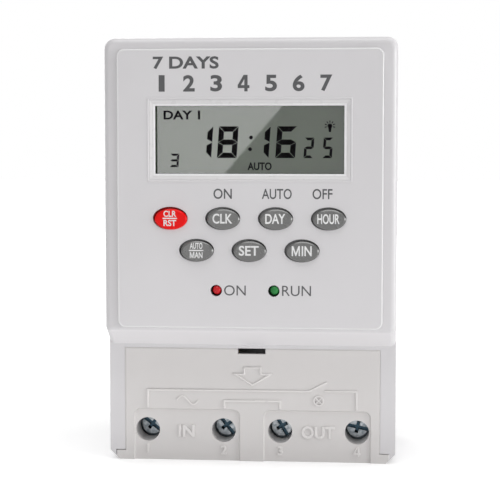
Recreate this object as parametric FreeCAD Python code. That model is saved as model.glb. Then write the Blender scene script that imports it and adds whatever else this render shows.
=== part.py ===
import FreeCAD, Part
import math
import os
from FreeCAD import Vector

# Seven-day timer switch for a 35 mm rail or a wall, in millimetres.
# Upright frame: X to the right, Y back to the wall, Z up. Y = 0 is the back face,
# the front looks along -Y, and Z = 0 is the height of the rail's centre line.

# Body outline
BODY_W = 82.8
BODY_H = 121.5
BODY_D = 52.0
TOP_CORNER_R = 3.0
FOOT_CHAMFER = 2.75
WALL = 2.2
EDGE_R = 1.8
REAR_D = 18.0
BODY_TOP_Z = 60.6

# Raised control panel
PANEL_RISE = 1.0
PANEL_SIDE_MARGIN = 3.9
PANEL_TOP_MARGIN = 3.15
PANEL_H = 78.6
PANEL_CORNER_R = 2.1
PANEL_EDGE_R = 0.35

# Sloped step down to the terminal part
UPPER_H = 82.6
SLOPE_H = 5.0
STEP_D = 8.35
STRIP_H = 0.95

# Display window and its mitred frame
WINDOW_W = 53.3
WINDOW_H = 19.15
WINDOW_DROP = 28.6
BEZEL_W = 1.9
BEZEL_D = 0.8
BEZEL_LAND = 0.35
PANE_T = 1.1
PANE_LEDGE = 1.3
PANE_GAP = 0.15

# Keys, by centre and pitch
KEY_W = 9.4
KEY_H = 6.0
KEY_PITCH = 14.88
KEY_ROW_1_DROP = 50.65
KEY_ROW_2_DROP = 59.65
KEY_GAP = 0.25
KEY_PROUD = 0.9
KEY_TRAVEL = 0.9
KEY_FLANGE = 0.9
KEY_FLANGE_T = 0.9
KEY_EDGE_R = 0.5
PILL_R = 1.6
PILL_T = 0.8

# Lamps
LED_R = 1.5
LED_GAP = 0.13
LED_FLANGE_R = 1.9
LED_FLANGE_T = 1.0
LED_LEAD = 0.5
LED_LEAD_PITCH = 1.27
LED_POWER_X = -9.3
LED_RUN_X = 7.0
LED_DROP = 71.03
LED_PROUD = 0.3

# Boards
BOARD_T = 1.6
BOARD_MARGIN = 1.6
DISPLAY_BOARD_D = 7.6
DISPLAY_BOARD_TOP = 10.1
DISPLAY_BOARD_H = 70.0
POWER_BOARD_D = 36.0
POWER_BOARD_TOP = 10.1
POWER_BOARD_H = 75.0
POST_R = 2.5
POST_PILOT_R = 0.9
BOARD_HOLE_R = 1.3
BOARD_SCREW_R = 0.85
BOARD_SCREW_HEAD_R = 2.2
BOARD_SCREW_HEAD_T = 1.3
BOARD_SCREW_L = 5.0
DISPLAY_POST_SIDE = 7.2
DISPLAY_POST_DROPS = (13.1, 77.1)
POWER_POST_SIDE = 6.7
POWER_POST_DROPS = (14.6, 81.1)
FIT_GAP = 0.3

# Display glass, its frame and contact strip
GLASS_SIDE = 2.1
GLASS_TOP = 2.2
GLASS_BOTTOM = 4.6
GLASS_T = 2.2
FRAME_WALL = 1.2
STRIP_W = 2.0
STRIP_SIDE = 3.0

# Keypad mat
MAT_T = 0.8
MAT_MARGIN = 4.2
MAT_COLLAR_T = 0.8
MAT_COLLAR_H = 2.4

# Terminals
TERMINAL_INNER_X = 8.19
TERMINAL_SIDE = 11.03
TERMINAL_RISE = 8.86
DECK_D = 22.4
BAY_FLOOR = 2.9
SCREW_HEAD_R = 3.3
SCREW_HEAD_H = 2.4
SCREW_HEAD_EDGE = 0.5
SCREW_R = 2.0
SCREW_L = 7.6
SCREW_SLOT_W = 1.0
SCREW_SLOT_D = 1.1
SCREW_CROSS_W = 1.1
SCREW_CROSS_L = 3.6
SCREW_CROSS_D = 1.6
THREAD_GAP = 0.05
CLAMP_W = 9.0
CLAMP_H = 8.4
CLAMP_T = 1.2
CLAMP_LIP = 0.8
CLAMP_LIP_D = 0.9
CLAMP_GAP = 0.15
BAR_W = 6.8
BAR_T = 1.2
BAR_FOOT = 3.8
BAR_LINK_W = 5.2
BAR_BOSS_R = 3.0
BAR_BOSS_D = 2.2
LEAD_W = 4.0
RIB_T = 1.5
RIB_TOP_GAP = 0.4
MIDDLE_RIB_H = 12.0
SIDE_RIB_H = 13.5
RIB_PAIR_GAP = 4.2
WIRE_NOTCH_R = 4.5
WIRE_NOTCH_D = 0.5
CAVITY_GAP = 0.3

# Terminal cover
COVER_GAP = 0.15
COVER_SIDE = 4.52
COVER_T = 2.0
COVER_SKIRT_T = 1.4
COVER_SKIRT_D = 5.1
COVER_EDGE_R = 0.3
TONGUE_W = 1.05
TONGUE_T = 1.2
TONGUE_D = 3.9
TONGUE_GAP = 0.3
RAIL_BACK_T = 1.5
FOOT_H = 2.7
FOOT_OUT = 2.6
FOOT_GAP = 0.2
FOOT_D = 8.25
TUBE_R = 3.5
TUBE_WALL = 0.8
TUBE_END_GAP = 2.4
SUNK_DEPTH = 0.6
SUNK_IN = 4.82
SUNK_OUT = 4.0
SUNK_H = 15.1
SUNK_R = 2.0
RELEASE_W = 8.0
RELEASE_H = 1.5
CATCH_W = 13.0
CATCH_H = 5.0
CATCH_T = 1.6

# Rail channel and clip
RAIL_W = 35.0
RAIL_FLANGE_T = 1.0
RAIL_GAP = 0.3
RAIL_SEAT_D = 6.0
RAIL_HOOK = 1.3
RAIL_LEAD_IN = 1.0
CHANNEL_FLARE = 1.7
CHANNEL_WALL = 2.2
CLIP_W = 24.0
CLIP_FLANGE = 2.0
CLIP_FLANGE_T = 1.7
CLIP_T = 4.3
CLIP_GAP = 0.25
CLIP_SHORT = 2.5
CLIP_NOSE_RAMP = 1.2
CLIP_TRAVEL = 4.5
CLIP_SLOT_W = 6.4
CLIP_SLOT_TOP = 5.0
CLIP_SLOT_H = 16.0
CLIP_PULL_W = 8.0
CLIP_PULL_H = 3.0
CLIP_PULL_RISE = 4.0
SPRING_T = 0.7
SPRING_LEGS = 7
SPRING_END_GAP = 0.3
PEG_H = 1.9
PEG_SIDE_GAP = 0.9

# Wall fixing and housing screws
WALL_SCREW_DROP = 10.05
WALL_SCREW_R = 2.25
WALL_SLEEVE_R = 3.75
WALL_HEAD_R = 4.5
WALL_HEAD_D = 1.1
KEYHOLE_Z = 36.0
KEYHOLE_HEAD_R = 4.2
KEYHOLE_NECK_R = 2.2
KEYHOLE_RUN = 8.0
CASE_SCREW_INSET = 4.6
CASE_BOSS_R = 3.3
CASE_TUBE_R = 3.9
CASE_SCREW_R = 1.4
CASE_SCREW_GAP = 0.05
CASE_SCREW_HEAD_R = 2.8
CASE_SCREW_HEAD_T = 2.0
CASE_SCREW_DEPTH = 9.0
CASE_SCREW_TIP = 2.6
CASE_PILOT_END = 0.6
LIP_T = 1.0
LIP_H = 1.5
LIP_GAP = 0.15

# Parts on the boards
RELAY_W = 32.0
RELAY_H = 27.5
RELAY_T = 20.0
RELAY_SIDE = 16.7
RELAY_Z = 4.5
RELAY_CORNER = 1.0
RELAY_LEAD_IN = 4.0
FILM_W = 18.0
FILM_H = 8.5
FILM_T = 15.0
FILM_SIDE = 16.2
FILM_Z = -16.0
CAN_R = 4.0
CAN_L = 12.0
CAN_GROOVE = 0.4
CAN_BEAD_RISE = 2.1
CAN_BEAD_HALF = 0.5
CAN_SIDE = 9.2
CAN_PITCH = 10.0
CAN_Z = 0.0
VARISTOR_R = 5.0
VARISTOR_T = 4.0
VARISTOR_SIDE = 9.2
VARISTOR_Z = 15.0
DIODE_R = 1.35
DIODE_L = 5.2
DIODE_PITCH = 4.0
DIODE_SIDE = 17.2
DIODE_Z = 14.0
DIODES = 4
RESISTOR_R = 1.6
RESISTOR_L = 8.0
RESISTOR_PITCH = 5.5
RESISTOR_SIDE = 27.7
RESISTOR_Z = -20.0
RESISTORS = 3
LEAD_R = 0.35
LEAD_OUT = 1.2
LEAD_GAP = 0.12
CELL_R = 7.75
CELL_L = 18.0
CELL_SIDE = 16.2
CELL_Z = 34.0
CELL_TAB_T = 0.4
CELL_TAB_W = 4.0
CHIP_W = 12.0
CHIP_T = 1.5
CHIP_X = 0.0
CHIP_Z = 3.0
CHIP_LEGS = 8
CHIP_LEG_PITCH = 1.25
CHIP_LEG_W = 0.5
CHIP_LEG_OUT = 1.0
CRYSTAL_R = 1.5
CRYSTAL_L = 8.0
CRYSTAL_X = 14.0
CRYSTAL_Z = 3.0
RIBBON_W = 12.0
RIBBON_T = 0.9
RIBBON_X = 12.0
RIBBON_Z = 30.0
RIBBON_SHIFT = 6.0

# Places that follow from the dimensions above
HALF_W = BODY_W / 2
BOTTOM_Z = BODY_TOP_Z - BODY_H
PANEL_Y = -BODY_D
FRONT_Y = PANEL_Y + PANEL_RISE
COVER_Y = PANEL_Y + STEP_D
SLOPE_TOP_Z = BODY_TOP_Z - UPPER_H
SLOPE_END_Z = SLOPE_TOP_Z - SLOPE_H
BAY_TOP_Z = SLOPE_END_Z - STRIP_H
BAY_FLOOR_Z = BOTTOM_Z + BAY_FLOOR
DECK_Y = PANEL_Y + DECK_D
PANEL_HALF_W = HALF_W - PANEL_SIDE_MARGIN
PANEL_TOP_Z = BODY_TOP_Z - PANEL_TOP_MARGIN
PANEL_BOTTOM_Z = PANEL_TOP_Z - PANEL_H
INNER_FRONT_Y = FRONT_Y + WALL
FACE_BACK_Y = PANEL_Y + WALL
WINDOW_Z = BODY_TOP_Z - WINDOW_DROP
PANE_FRONT_Y = PANEL_Y + BEZEL_D + BEZEL_LAND
PANE_BACK_Y = PANE_FRONT_Y + PANE_T
BOARD_FRONT_Y = PANEL_Y + DISPLAY_BOARD_D
BOARD_BACK_Y = BOARD_FRONT_Y + BOARD_T
POWER_FRONT_Y = PANEL_Y + POWER_BOARD_D
POWER_BACK_Y = POWER_FRONT_Y + BOARD_T
LED_Z = BODY_TOP_Z - LED_DROP
TERMINAL_Z = BOTTOM_Z + TERMINAL_RISE
TERMINAL_OUTER_X = HALF_W - TERMINAL_SIDE
TERMINAL_XS = (-TERMINAL_OUTER_X, -TERMINAL_INNER_X, TERMINAL_INNER_X, TERMINAL_OUTER_X)
BAR_TOP_Y = DECK_Y - BAR_T
CLAMP_BACK_Y = BAR_TOP_Y - CLAMP_GAP
HEAD_BACK_Y = CLAMP_BACK_Y - CLAMP_T
HEAD_TOP_Y = HEAD_BACK_Y - SCREW_HEAD_H
TUBE_END_Y = HEAD_TOP_Y - TUBE_END_GAP
SUNK_INNER_X = TERMINAL_INNER_X - SUNK_IN
SUNK_OUTER_X = TERMINAL_OUTER_X + SUNK_OUT
WALL_SCREW_X = (TERMINAL_INNER_X + TERMINAL_OUTER_X) / 2
WALL_SCREW_Z = BAY_TOP_Z - WALL_SCREW_DROP
COVER_TOP_Z = BAY_TOP_Z - COVER_GAP
COVER_HALF_W = HALF_W - COVER_SIDE
COVER_BACK_Y = COVER_Y + COVER_T
TONGUE_Y = COVER_Y + TONGUE_D
FOOT_TOP_Z = BOTTOM_Z + FOOT_H
RAIL_HALF = RAIL_W / 2
SEAT_Y = -RAIL_SEAT_D
HOOK_Y = SEAT_Y + RAIL_FLANGE_T + RAIL_GAP
CLIP_FRONT_Y = -CLIP_T - CLIP_GAP
CLIP_NOSE_Z = -RAIL_HALF + RAIL_HOOK
CLIP_BOTTOM_Z = BOTTOM_Z + CLIP_SHORT
CASE_SCREW_X = HALF_W - CASE_SCREW_INSET
CASE_SCREW_ZS = (BODY_TOP_Z - CASE_SCREW_INSET, BOTTOM_Z + CASE_SCREW_INSET)
CASE_TIP_Y = DECK_Y + CASE_SCREW_TIP
CASE_PILOT_Y = DECK_Y + CASE_PILOT_END
BOARD_HALF_W = HALF_W - WALL - BOARD_MARGIN
DISPLAY_POST_X = HALF_W - DISPLAY_POST_SIDE
POWER_POST_X = HALF_W - POWER_POST_SIDE
RELAY_X = BOARD_HALF_W - RELAY_SIDE
FILM_X = FILM_SIDE - BOARD_HALF_W
CAN_XS = (CAN_SIDE - BOARD_HALF_W, CAN_SIDE + CAN_PITCH - BOARD_HALF_W)
VARISTOR_X = VARISTOR_SIDE - BOARD_HALF_W
DIODE_X = DIODE_SIDE - BOARD_HALF_W
RESISTOR_X = RESISTOR_SIDE - BOARD_HALF_W
CELL_X = CELL_SIDE - BOARD_HALF_W

KEY_ROWS = (
    (KEY_ROW_1_DROP, ("key_reset", "key_clock", "key_day", "key_hour")),
    (KEY_ROW_2_DROP, ("key_mode", "key_program", "key_minute")),
)


def block(x0, x1, y0, y1, z0, z1):
    """Square-edged block between two corners."""
    return Part.makeBox(x1 - x0, y1 - y0, z1 - z0, Vector(x0, y0, z0))


def bar_y(x, z, r, y0, y1):
    """Round bar along Y."""
    return Part.makeCylinder(r, y1 - y0, Vector(x, y0, z), Vector(0, 1, 0))


def prism(points, x0, x1):
    """Side profile of (y, z) points, run across from x0 to x1."""
    corners = [Vector(x0, y, z) for y, z in points]
    face = Part.Face(Part.makePolygon(corners + corners[:1]))
    return face.extrude(Vector(x1 - x0, 0, 0))


def soft_block(x0, x1, y0, y1, z0, z1, r):
    """Block whose four edges along Y are rounded."""
    body = block(x0, x1, y0, y1, z0, z1)
    edges = [e for e in body.Edges if abs(e.tangentAt(e.FirstParameter).y) > 0.99]
    return body.makeFillet(r, edges)


def oval(x, z, half_w, half_h, y0, y1):
    """Elliptical bar along Y."""
    curve = Part.Ellipse(Vector(x + half_w, y0, z), Vector(x, y0, z + half_h), Vector(x, y0, z))
    return Part.Face(Part.Wire(curve.toShape())).extrude(Vector(0, y1 - y0, 0))


def turned(x, z, outline):
    """Solid turned about an axis along Y from (radius, y) points."""
    corners = [Vector(x + r, y, z) for r, y in outline]
    face = Part.Face(Part.makePolygon(corners + corners[:1]))
    return face.revolve(Vector(x, 0, z), Vector(0, 1, 0), 360)


def edges_on_plane(solid, y):
    """Edges that lie wholly in the plane at y."""
    return [e for e in solid.Edges
            if abs(e.BoundBox.YMin - y) < 0.001 and abs(e.BoundBox.YMax - y) < 0.001]


def band(path, thickness):
    """Face of one thickness along a flat open path."""
    return Part.Face(path.makeOffset2D(thickness / 2, 0, False, False))


def body_outline(y0, y1):
    """Front-view outline of the body: round at the top corners, chamfered at the feet."""
    body = block(-HALF_W, HALF_W, y0, y1, BOTTOM_Z, BODY_TOP_Z)
    tops = []
    feet = []
    for edge in body.Edges:
        if abs(edge.tangentAt(edge.FirstParameter).y) < 0.99:
            continue
        (tops if edge.CenterOfMass.z > 0 else feet).append(edge)
    body = body.makeFillet(TOP_CORNER_R, tops)
    feet = [e for e in body.Edges if e.CenterOfMass.z < BOTTOM_Z + 0.01
            and abs(abs(e.CenterOfMass.x) - HALF_W) < 0.01 and e.BoundBox.YLength > 1]
    return body.makeChamfer(FOOT_CHAMFER, feet)


def side_profile(lower_y):
    """Side view of the body, with the part below the step ending at lower_y."""
    points = [(0, BODY_TOP_Z), (FRONT_Y, BODY_TOP_Z), (FRONT_Y, SLOPE_TOP_Z), (COVER_Y, SLOPE_END_Z)]
    if lower_y > COVER_Y:
        points += [(COVER_Y, BAY_TOP_Z), (lower_y, BAY_TOP_Z)]
    return points + [(lower_y, BOTTOM_Z), (0, BOTTOM_Z)]


def body_skin():
    """Whole body as one closed form, with its front edges rounded."""
    body = body_outline(FRONT_Y, 0)
    body = body.common(prism(side_profile(COVER_Y), -HALF_W, HALF_W))
    rounded = []
    for edge in body.Edges:
        box = edge.BoundBox
        centre = edge.CenterOfMass
        on_front = box.YMax < FRONT_Y + 0.001
        on_slope = box.YMin < COVER_Y - 0.1 and box.YMax < COVER_Y + 0.001
        if centre.z > SLOPE_END_Z and (on_front or on_slope):
            rounded.append(edge)
    return body.makeFillet(EDGE_R, rounded)


def hollow():
    """Space inside the housing: the side profile drawn in by the wall, between the side walls."""
    corners = [Vector(-HALF_W + WALL, y, z) for y, z in side_profile(DECK_Y)]
    face = Part.Face(Part.makePolygon(corners + corners[:1]))
    inner = face.makeOffset2D(-WALL, 2)
    return inner.extrude(Vector(BODY_W - 2 * WALL, 0, 0))


def case_corners():
    """Centres of the four housing screws."""
    return [(x, z) for z in CASE_SCREW_ZS for x in (-CASE_SCREW_X, CASE_SCREW_X)]


def display_posts():
    """Centres of the display board's screws."""
    return [(x, BODY_TOP_Z - d) for d in DISPLAY_POST_DROPS for x in (-DISPLAY_POST_X, DISPLAY_POST_X)]


def power_posts():
    """Centres of the power board's screws."""
    return [(x, BODY_TOP_Z - d) for d in POWER_POST_DROPS for x in (-POWER_POST_X, POWER_POST_X)]


def key_places():
    """Name and centre of each key."""
    places = []
    for drop, names in KEY_ROWS:
        first_x = -KEY_PITCH * (len(names) - 1) / 2
        for i, name in enumerate(names):
            places.append((name, first_x + i * KEY_PITCH, BODY_TOP_Z - drop))
    return places


def window_cut():
    """Mitred frame, straight land and pane pocket of the window."""
    half_w = WINDOW_W / 2
    half_h = WINDOW_H / 2
    rings = []
    for grow, y in ((BEZEL_W, PANEL_Y), (0, PANEL_Y + BEZEL_D)):
        corners = [Vector(sx * (half_w + grow), y, WINDOW_Z + sz * (half_h + grow))
                   for sx, sz in ((-1, -1), (1, -1), (1, 1), (-1, 1))]
        rings.append(Part.makePolygon(corners + corners[:1]))
    frame = Part.makeLoft(rings, True, True)
    land = block(-half_w, half_w, PANEL_Y + BEZEL_D - 0.01, FACE_BACK_Y + 1,
                 WINDOW_Z - half_h, WINDOW_Z + half_h)
    pocket = block(-half_w - PANE_LEDGE, half_w + PANE_LEDGE, PANE_FRONT_Y, FACE_BACK_Y + 1,
                   WINDOW_Z - half_h - PANE_LEDGE, WINDOW_Z + half_h + PANE_LEDGE)
    return frame.fuse([land, pocket])


def raised_panel():
    """Plateau of the control panel, with its front edge eased."""
    panel = soft_block(-PANEL_HALF_W, PANEL_HALF_W, PANEL_Y, INNER_FRONT_Y,
                       PANEL_BOTTOM_Z, PANEL_TOP_Z, PANEL_CORNER_R)
    return panel.makeFillet(PANEL_EDGE_R, edges_on_plane(panel, PANEL_Y))


def terminal_bay():
    """Open space in front of the terminal deck, with the notches for the cover's feet."""
    side = HALF_W - WALL
    bay = block(-side, side, COVER_Y - 1, DECK_Y, BAY_FLOOR_Z, BAY_TOP_Z)
    foot_x = COVER_HALF_W + FOOT_OUT + FOOT_GAP
    foot = block(-foot_x, foot_x, COVER_Y - 1, COVER_Y + FOOT_D, BOTTOM_Z - 1, BAY_FLOOR_Z)
    return bay.fuse(foot)


def cover_rails():
    """Strips on both side walls that the cover's tongues run between."""
    inner_x = COVER_HALF_W + COVER_GAP
    side = HALF_W - WALL
    strips = []
    for sign in (-1, 1):
        x0, x1 = sorted((sign * inner_x, sign * side))
        y = TONGUE_Y - TONGUE_GAP
        strips.append(block(x0, x1, COVER_Y, y, BAY_FLOOR_Z, BAY_TOP_Z))
        y = TONGUE_Y + TONGUE_T + TONGUE_GAP
        strips.append(block(x0, x1, y, y + RAIL_BACK_T, BAY_FLOOR_Z, BAY_TOP_Z))
    return strips


def barrier_ribs():
    """Ribs that part the four terminals."""
    rib_y = COVER_BACK_Y + RIB_TOP_GAP
    between = (TERMINAL_INNER_X + TERMINAL_OUTER_X) / 2
    inner_x = between - RIB_PAIR_GAP / 2 - RIB_T / 2
    outer_x = between + RIB_PAIR_GAP / 2 + RIB_T / 2
    ribs = [block(-RIB_T / 2, RIB_T / 2, rib_y, DECK_Y, BAY_FLOOR_Z, BAY_FLOOR_Z + MIDDLE_RIB_H)]
    for x in (-outer_x, -inner_x, inner_x, outer_x):
        ribs.append(block(x - RIB_T / 2, x + RIB_T / 2, rib_y, DECK_Y,
                          BAY_FLOOR_Z, BAY_FLOOR_Z + SIDE_RIB_H))
    return ribs


def cover_catch():
    """Sprung loop of the housing that holds the cover, open where the release notch looks in."""
    half = CATCH_W / 2
    front = COVER_BACK_Y + RIB_TOP_GAP
    back = DECK_Y - BAR_T - CAVITY_GAP
    tongue = block(-half, half, front, front + CATCH_T, BAY_TOP_Z - CATCH_H, BAY_TOP_Z)
    root = block(-half, half, front, back, BAY_TOP_Z - CATCH_T, BAY_TOP_Z)
    half = RELEASE_W / 2 + CAVITY_GAP
    eye = block(-half, half, front - 1, back + 1, COVER_TOP_Z - RELEASE_H - CAVITY_GAP, BAY_TOP_Z)
    return tongue.fuse(root).cut(eye)


def wire_notch(x):
    """Round-bottomed notch in the bottom wall where a wire comes in."""
    y = DECK_Y - WIRE_NOTCH_D - WIRE_NOTCH_R
    round_end = Part.makeCylinder(WIRE_NOTCH_R, BAY_FLOOR + 1, Vector(x, y, BOTTOM_Z - 1))
    straight = block(x - WIRE_NOTCH_R, x + WIRE_NOTCH_R, COVER_Y, y, BOTTOM_Z - 1, BAY_FLOOR_Z)
    return round_end.fuse(straight)


def front_case():
    """Front moulding: control panel, step, cover rails and terminal deck."""
    case = body_skin().cut(block(-HALF_W, HALF_W, -REAR_D, 0, BOTTOM_Z, BODY_TOP_Z))
    case = case.fuse(raised_panel())
    panel_pocket = block(-PANEL_HALF_W + WALL, PANEL_HALF_W - WALL, FACE_BACK_Y, INNER_FRONT_Y + 1,
                         PANEL_BOTTOM_Z + WALL, PANEL_TOP_Z - WALL)
    case = case.cut([hollow(), panel_pocket, terminal_bay(), window_cut()])
    case = case.fuse(cover_rails() + barrier_ribs() + [cover_catch()])

    adds = []
    for x, z in case_corners():
        y0 = INNER_FRONT_Y if z > 0 else DECK_Y + WALL
        adds.append(bar_y(x, z, CASE_BOSS_R, y0, -REAR_D))
    for x, z in display_posts():
        adds.append(bar_y(x, z, POST_R, FACE_BACK_Y, BOARD_FRONT_Y))
    case = case.fuse(adds)

    cuts = [wire_notch(x) for x in TERMINAL_XS]
    for x in TERMINAL_XS:
        cuts.append(bar_y(x, TERMINAL_Z, BAR_BOSS_R + CAVITY_GAP, DECK_Y - 1, DECK_Y + WALL + 1))
    for x in (-WALL_SCREW_X, WALL_SCREW_X):
        cuts.append(bar_y(x, WALL_SCREW_Z, WALL_HEAD_R, DECK_Y - 1, DECK_Y + WALL + 1))
    for x, half_w in bar_passages():
        cuts.append(block(x - half_w, x + half_w, BAR_TOP_Y - CAVITY_GAP, DECK_Y + WALL,
                          BAY_TOP_Z - CAVITY_GAP, BAY_TOP_Z + WALL + 1))
    for x, z in case_corners():
        cuts.append(bar_y(x, z, CASE_SCREW_R + CASE_SCREW_GAP, CASE_PILOT_Y, -REAR_D))
    for x, z in display_posts():
        cuts.append(bar_y(x, z, POST_PILOT_R, BOARD_FRONT_Y - BOARD_SCREW_L + BOARD_T, BOARD_FRONT_Y))
    for _name, x, z in key_places():
        cuts.append(oval(x, z, KEY_W / 2 + KEY_GAP, KEY_H / 2 + KEY_GAP, PANEL_Y - 1, FACE_BACK_Y + 1))
    for x in (LED_POWER_X, LED_RUN_X):
        cuts.append(bar_y(x, LED_Z, LED_R + LED_GAP, PANEL_Y - 1, FACE_BACK_Y + 1))
    return case.cut(cuts)


def channel_profile():
    """Side view of the rail channel: hook above, seat, and an open flare below."""
    hook_z = RAIL_HALF - RAIL_HOOK
    wall_z = RAIL_HALF + RAIL_GAP
    return [(1, hook_z - RAIL_LEAD_IN), (0, hook_z - RAIL_LEAD_IN), (-RAIL_LEAD_IN, hook_z),
            (HOOK_Y, hook_z), (HOOK_Y, wall_z), (SEAT_Y, wall_z), (SEAT_Y, -wall_z),
            (0, -wall_z - CHANNEL_FLARE), (1, -wall_z - CHANNEL_FLARE)]


def clip_guide():
    """T-shaped way that the rail clip slides in."""
    wide = CLIP_W / 2 + CLIP_FLANGE + CLIP_GAP
    narrow = CLIP_W / 2 + CLIP_GAP
    lip_y = CLIP_FRONT_Y + CLIP_FLANGE_T + 2 * CLIP_GAP
    top = -RAIL_HALF
    deep = block(-wide, wide, CLIP_FRONT_Y, lip_y, BOTTOM_Z - 1, top)
    mouth = block(-narrow, narrow, CLIP_FRONT_Y, 1, BOTTOM_Z - 1, top)
    return deep.fuse(mouth)


def spring_peg():
    """Fixed peg that the clip's spring pushes against."""
    x = CLIP_SLOT_W / 2 - PEG_SIDE_GAP
    z = CLIP_NOSE_Z - CLIP_SLOT_TOP - CLIP_SLOT_H + SPRING_END_GAP * 2
    return block(-x, x, CLIP_FRONT_Y, -CLIP_FLANGE_T, z, z + PEG_H)


def keyhole():
    """Hole and upward neck for a wall screw's head."""
    head = bar_y(0, KEYHOLE_Z, KEYHOLE_HEAD_R, -WALL - 1, 1)
    neck = block(-KEYHOLE_NECK_R, KEYHOLE_NECK_R, -WALL - 1, 1, KEYHOLE_Z, KEYHOLE_Z + KEYHOLE_RUN)
    top = bar_y(0, KEYHOLE_Z + KEYHOLE_RUN, KEYHOLE_NECK_R, -WALL - 1, 1)
    return head.fuse([neck, top])


def inner_rim(gap, y0, y1):
    """Band round the inside of the walls, set in by gap from them."""
    outer_x = HALF_W - WALL - gap
    inner_x = HALF_W - WALL - LIP_GAP - LIP_T
    drop = HALF_W - outer_x
    outer = block(-outer_x, outer_x, y0, y1, BOTTOM_Z + drop, BODY_TOP_Z - drop)
    drop = HALF_W - inner_x
    inner = block(-inner_x, inner_x, y0 - 1, y1 + 1, BOTTOM_Z + drop, BODY_TOP_Z - drop)
    return outer.cut(inner)


def joint_lip():
    """Lip of the rear shell that enters the front shell, open where the screw bosses pass."""
    lip = inner_rim(LIP_GAP, -REAR_D - LIP_H, -REAR_D)
    root = inner_rim(-WALL / 4, -REAR_D, -REAR_D + WALL)
    bosses = [bar_y(x, z, CASE_BOSS_R + CAVITY_GAP, -REAR_D - LIP_H - 1, -REAR_D) for x, z in case_corners()]
    return lip.fuse(root).cut(bosses)


def rear_case():
    """Rear moulding with the rail channel, clip guide, keyhole and screw tubes."""
    skin = body_skin().common(block(-HALF_W, HALF_W, -REAR_D, 0, BOTTOM_Z, BODY_TOP_Z))
    case = skin.cut(hollow())
    side = HALF_W - WALL / 2
    depth = RAIL_SEAT_D + CHANNEL_WALL
    half_h = RAIL_HALF + RAIL_GAP + CHANNEL_FLARE + CHANNEL_WALL
    case = case.fuse(block(-side, side, -depth, 0, -half_h, half_h))
    guide_x = CLIP_W / 2 + CLIP_FLANGE + CLIP_GAP + CHANNEL_WALL
    case = case.fuse(block(-guide_x, guide_x, CLIP_FRONT_Y - CHANNEL_WALL, 0, BOTTOM_Z, -half_h + 1))

    adds = [joint_lip()]
    for x, z in power_posts():
        adds.append(bar_y(x, z, POST_R, POWER_BACK_Y, -WALL))
    for x, z in case_corners():
        adds.append(bar_y(x, z, CASE_TUBE_R, -REAR_D, -WALL / 2).common(skin))
    for x in (-WALL_SCREW_X, WALL_SCREW_X):
        adds.append(bar_y(x, WALL_SCREW_Z, WALL_SLEEVE_R, DECK_Y + WALL_HEAD_D, -WALL / 2))
    case = case.fuse(adds)

    cuts = [prism(channel_profile(), -HALF_W - 1, HALF_W + 1), clip_guide(), keyhole()]
    for x, z in power_posts():
        cuts.append(bar_y(x, z, POST_PILOT_R, POWER_BACK_Y, POWER_BACK_Y + BOARD_SCREW_L))
    for x, z in case_corners():
        cuts.append(bar_y(x, z, CASE_SCREW_HEAD_R + 2 * CASE_SCREW_GAP, -CASE_SCREW_DEPTH, 1))
        cuts.append(bar_y(x, z, CASE_SCREW_R + CASE_SCREW_GAP, -REAR_D - 1, 1))
    for x in (-WALL_SCREW_X, WALL_SCREW_X):
        cuts.append(bar_y(x, WALL_SCREW_Z, WALL_SCREW_R, DECK_Y, 1))
    return case.cut(cuts).fuse(spring_peg())


def terminal_cover():
    """Sliding cover with its screwdriver tubes, release notch, feet, skirts and tongues."""
    w = COVER_HALF_W
    plate = block(-w, w, COVER_Y, COVER_BACK_Y, BOTTOM_Z, COVER_TOP_Z)
    foot_x = w + FOOT_OUT
    foot = block(-foot_x, foot_x, COVER_Y, COVER_BACK_Y, BOTTOM_Z, FOOT_TOP_Z)
    flange = block(-foot_x, foot_x, COVER_Y, COVER_Y + FOOT_D - COVER_GAP, BOTTOM_Z, FOOT_TOP_Z)
    cover = plate.fuse([foot, flange])
    for sign in (-1, 1):
        x0, x1 = sorted((sign * (w - COVER_SKIRT_T), sign * w))
        cover = cover.fuse(block(x0, x1, COVER_Y, COVER_Y + COVER_SKIRT_D, BOTTOM_Z, COVER_TOP_Z))
        x0, x1 = sorted((sign * w, sign * (w + TONGUE_W)))
        cover = cover.fuse(block(x0, x1, TONGUE_Y, TONGUE_Y + TONGUE_T, FOOT_TOP_Z, COVER_TOP_Z))
    cover = cover.common(body_outline(COVER_Y, 0)).removeSplitter()
    rim = [e for e in edges_on_plane(cover, COVER_Y) if e.CenterOfMass.z > FOOT_TOP_Z + 1]
    cover = cover.makeFillet(COVER_EDGE_R, rim)

    cover = cover.fuse([bar_y(x, TERMINAL_Z, TUBE_R + TUBE_WALL, COVER_Y + SUNK_DEPTH, TUBE_END_Y)
                        for x in TERMINAL_XS])
    cuts = [bar_y(x, TERMINAL_Z, TUBE_R, COVER_Y - 1, TUBE_END_Y + 1) for x in TERMINAL_XS]
    for sign in (-1, 1):
        x0, x1 = sorted((sign * SUNK_INNER_X, sign * SUNK_OUTER_X))
        cuts.append(soft_block(x0, x1, COVER_Y - 1, COVER_Y + SUNK_DEPTH,
                               BOTTOM_Z - 2 * SUNK_R, BOTTOM_Z + SUNK_H, SUNK_R))
    cuts.append(block(-RELEASE_W / 2, RELEASE_W / 2, COVER_Y - 1, COVER_BACK_Y + 1,
                      COVER_TOP_Z - RELEASE_H, COVER_TOP_Z + 1))
    return cover.cut(cuts)


def lcd_window():
    """Clear pane, let into the window from behind."""
    half_w = WINDOW_W / 2 + PANE_LEDGE - PANE_GAP
    half_h = WINDOW_H / 2 + PANE_LEDGE - PANE_GAP
    return block(-half_w, half_w, PANE_FRONT_Y, PANE_BACK_Y, WINDOW_Z - half_h, WINDOW_Z + half_h)


def glass_size():
    """Half width, bottom and top of the display glass."""
    half_h = WINDOW_H / 2
    return WINDOW_W / 2 + GLASS_SIDE, WINDOW_Z - half_h - GLASS_BOTTOM, WINDOW_Z + half_h + GLASS_TOP


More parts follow.
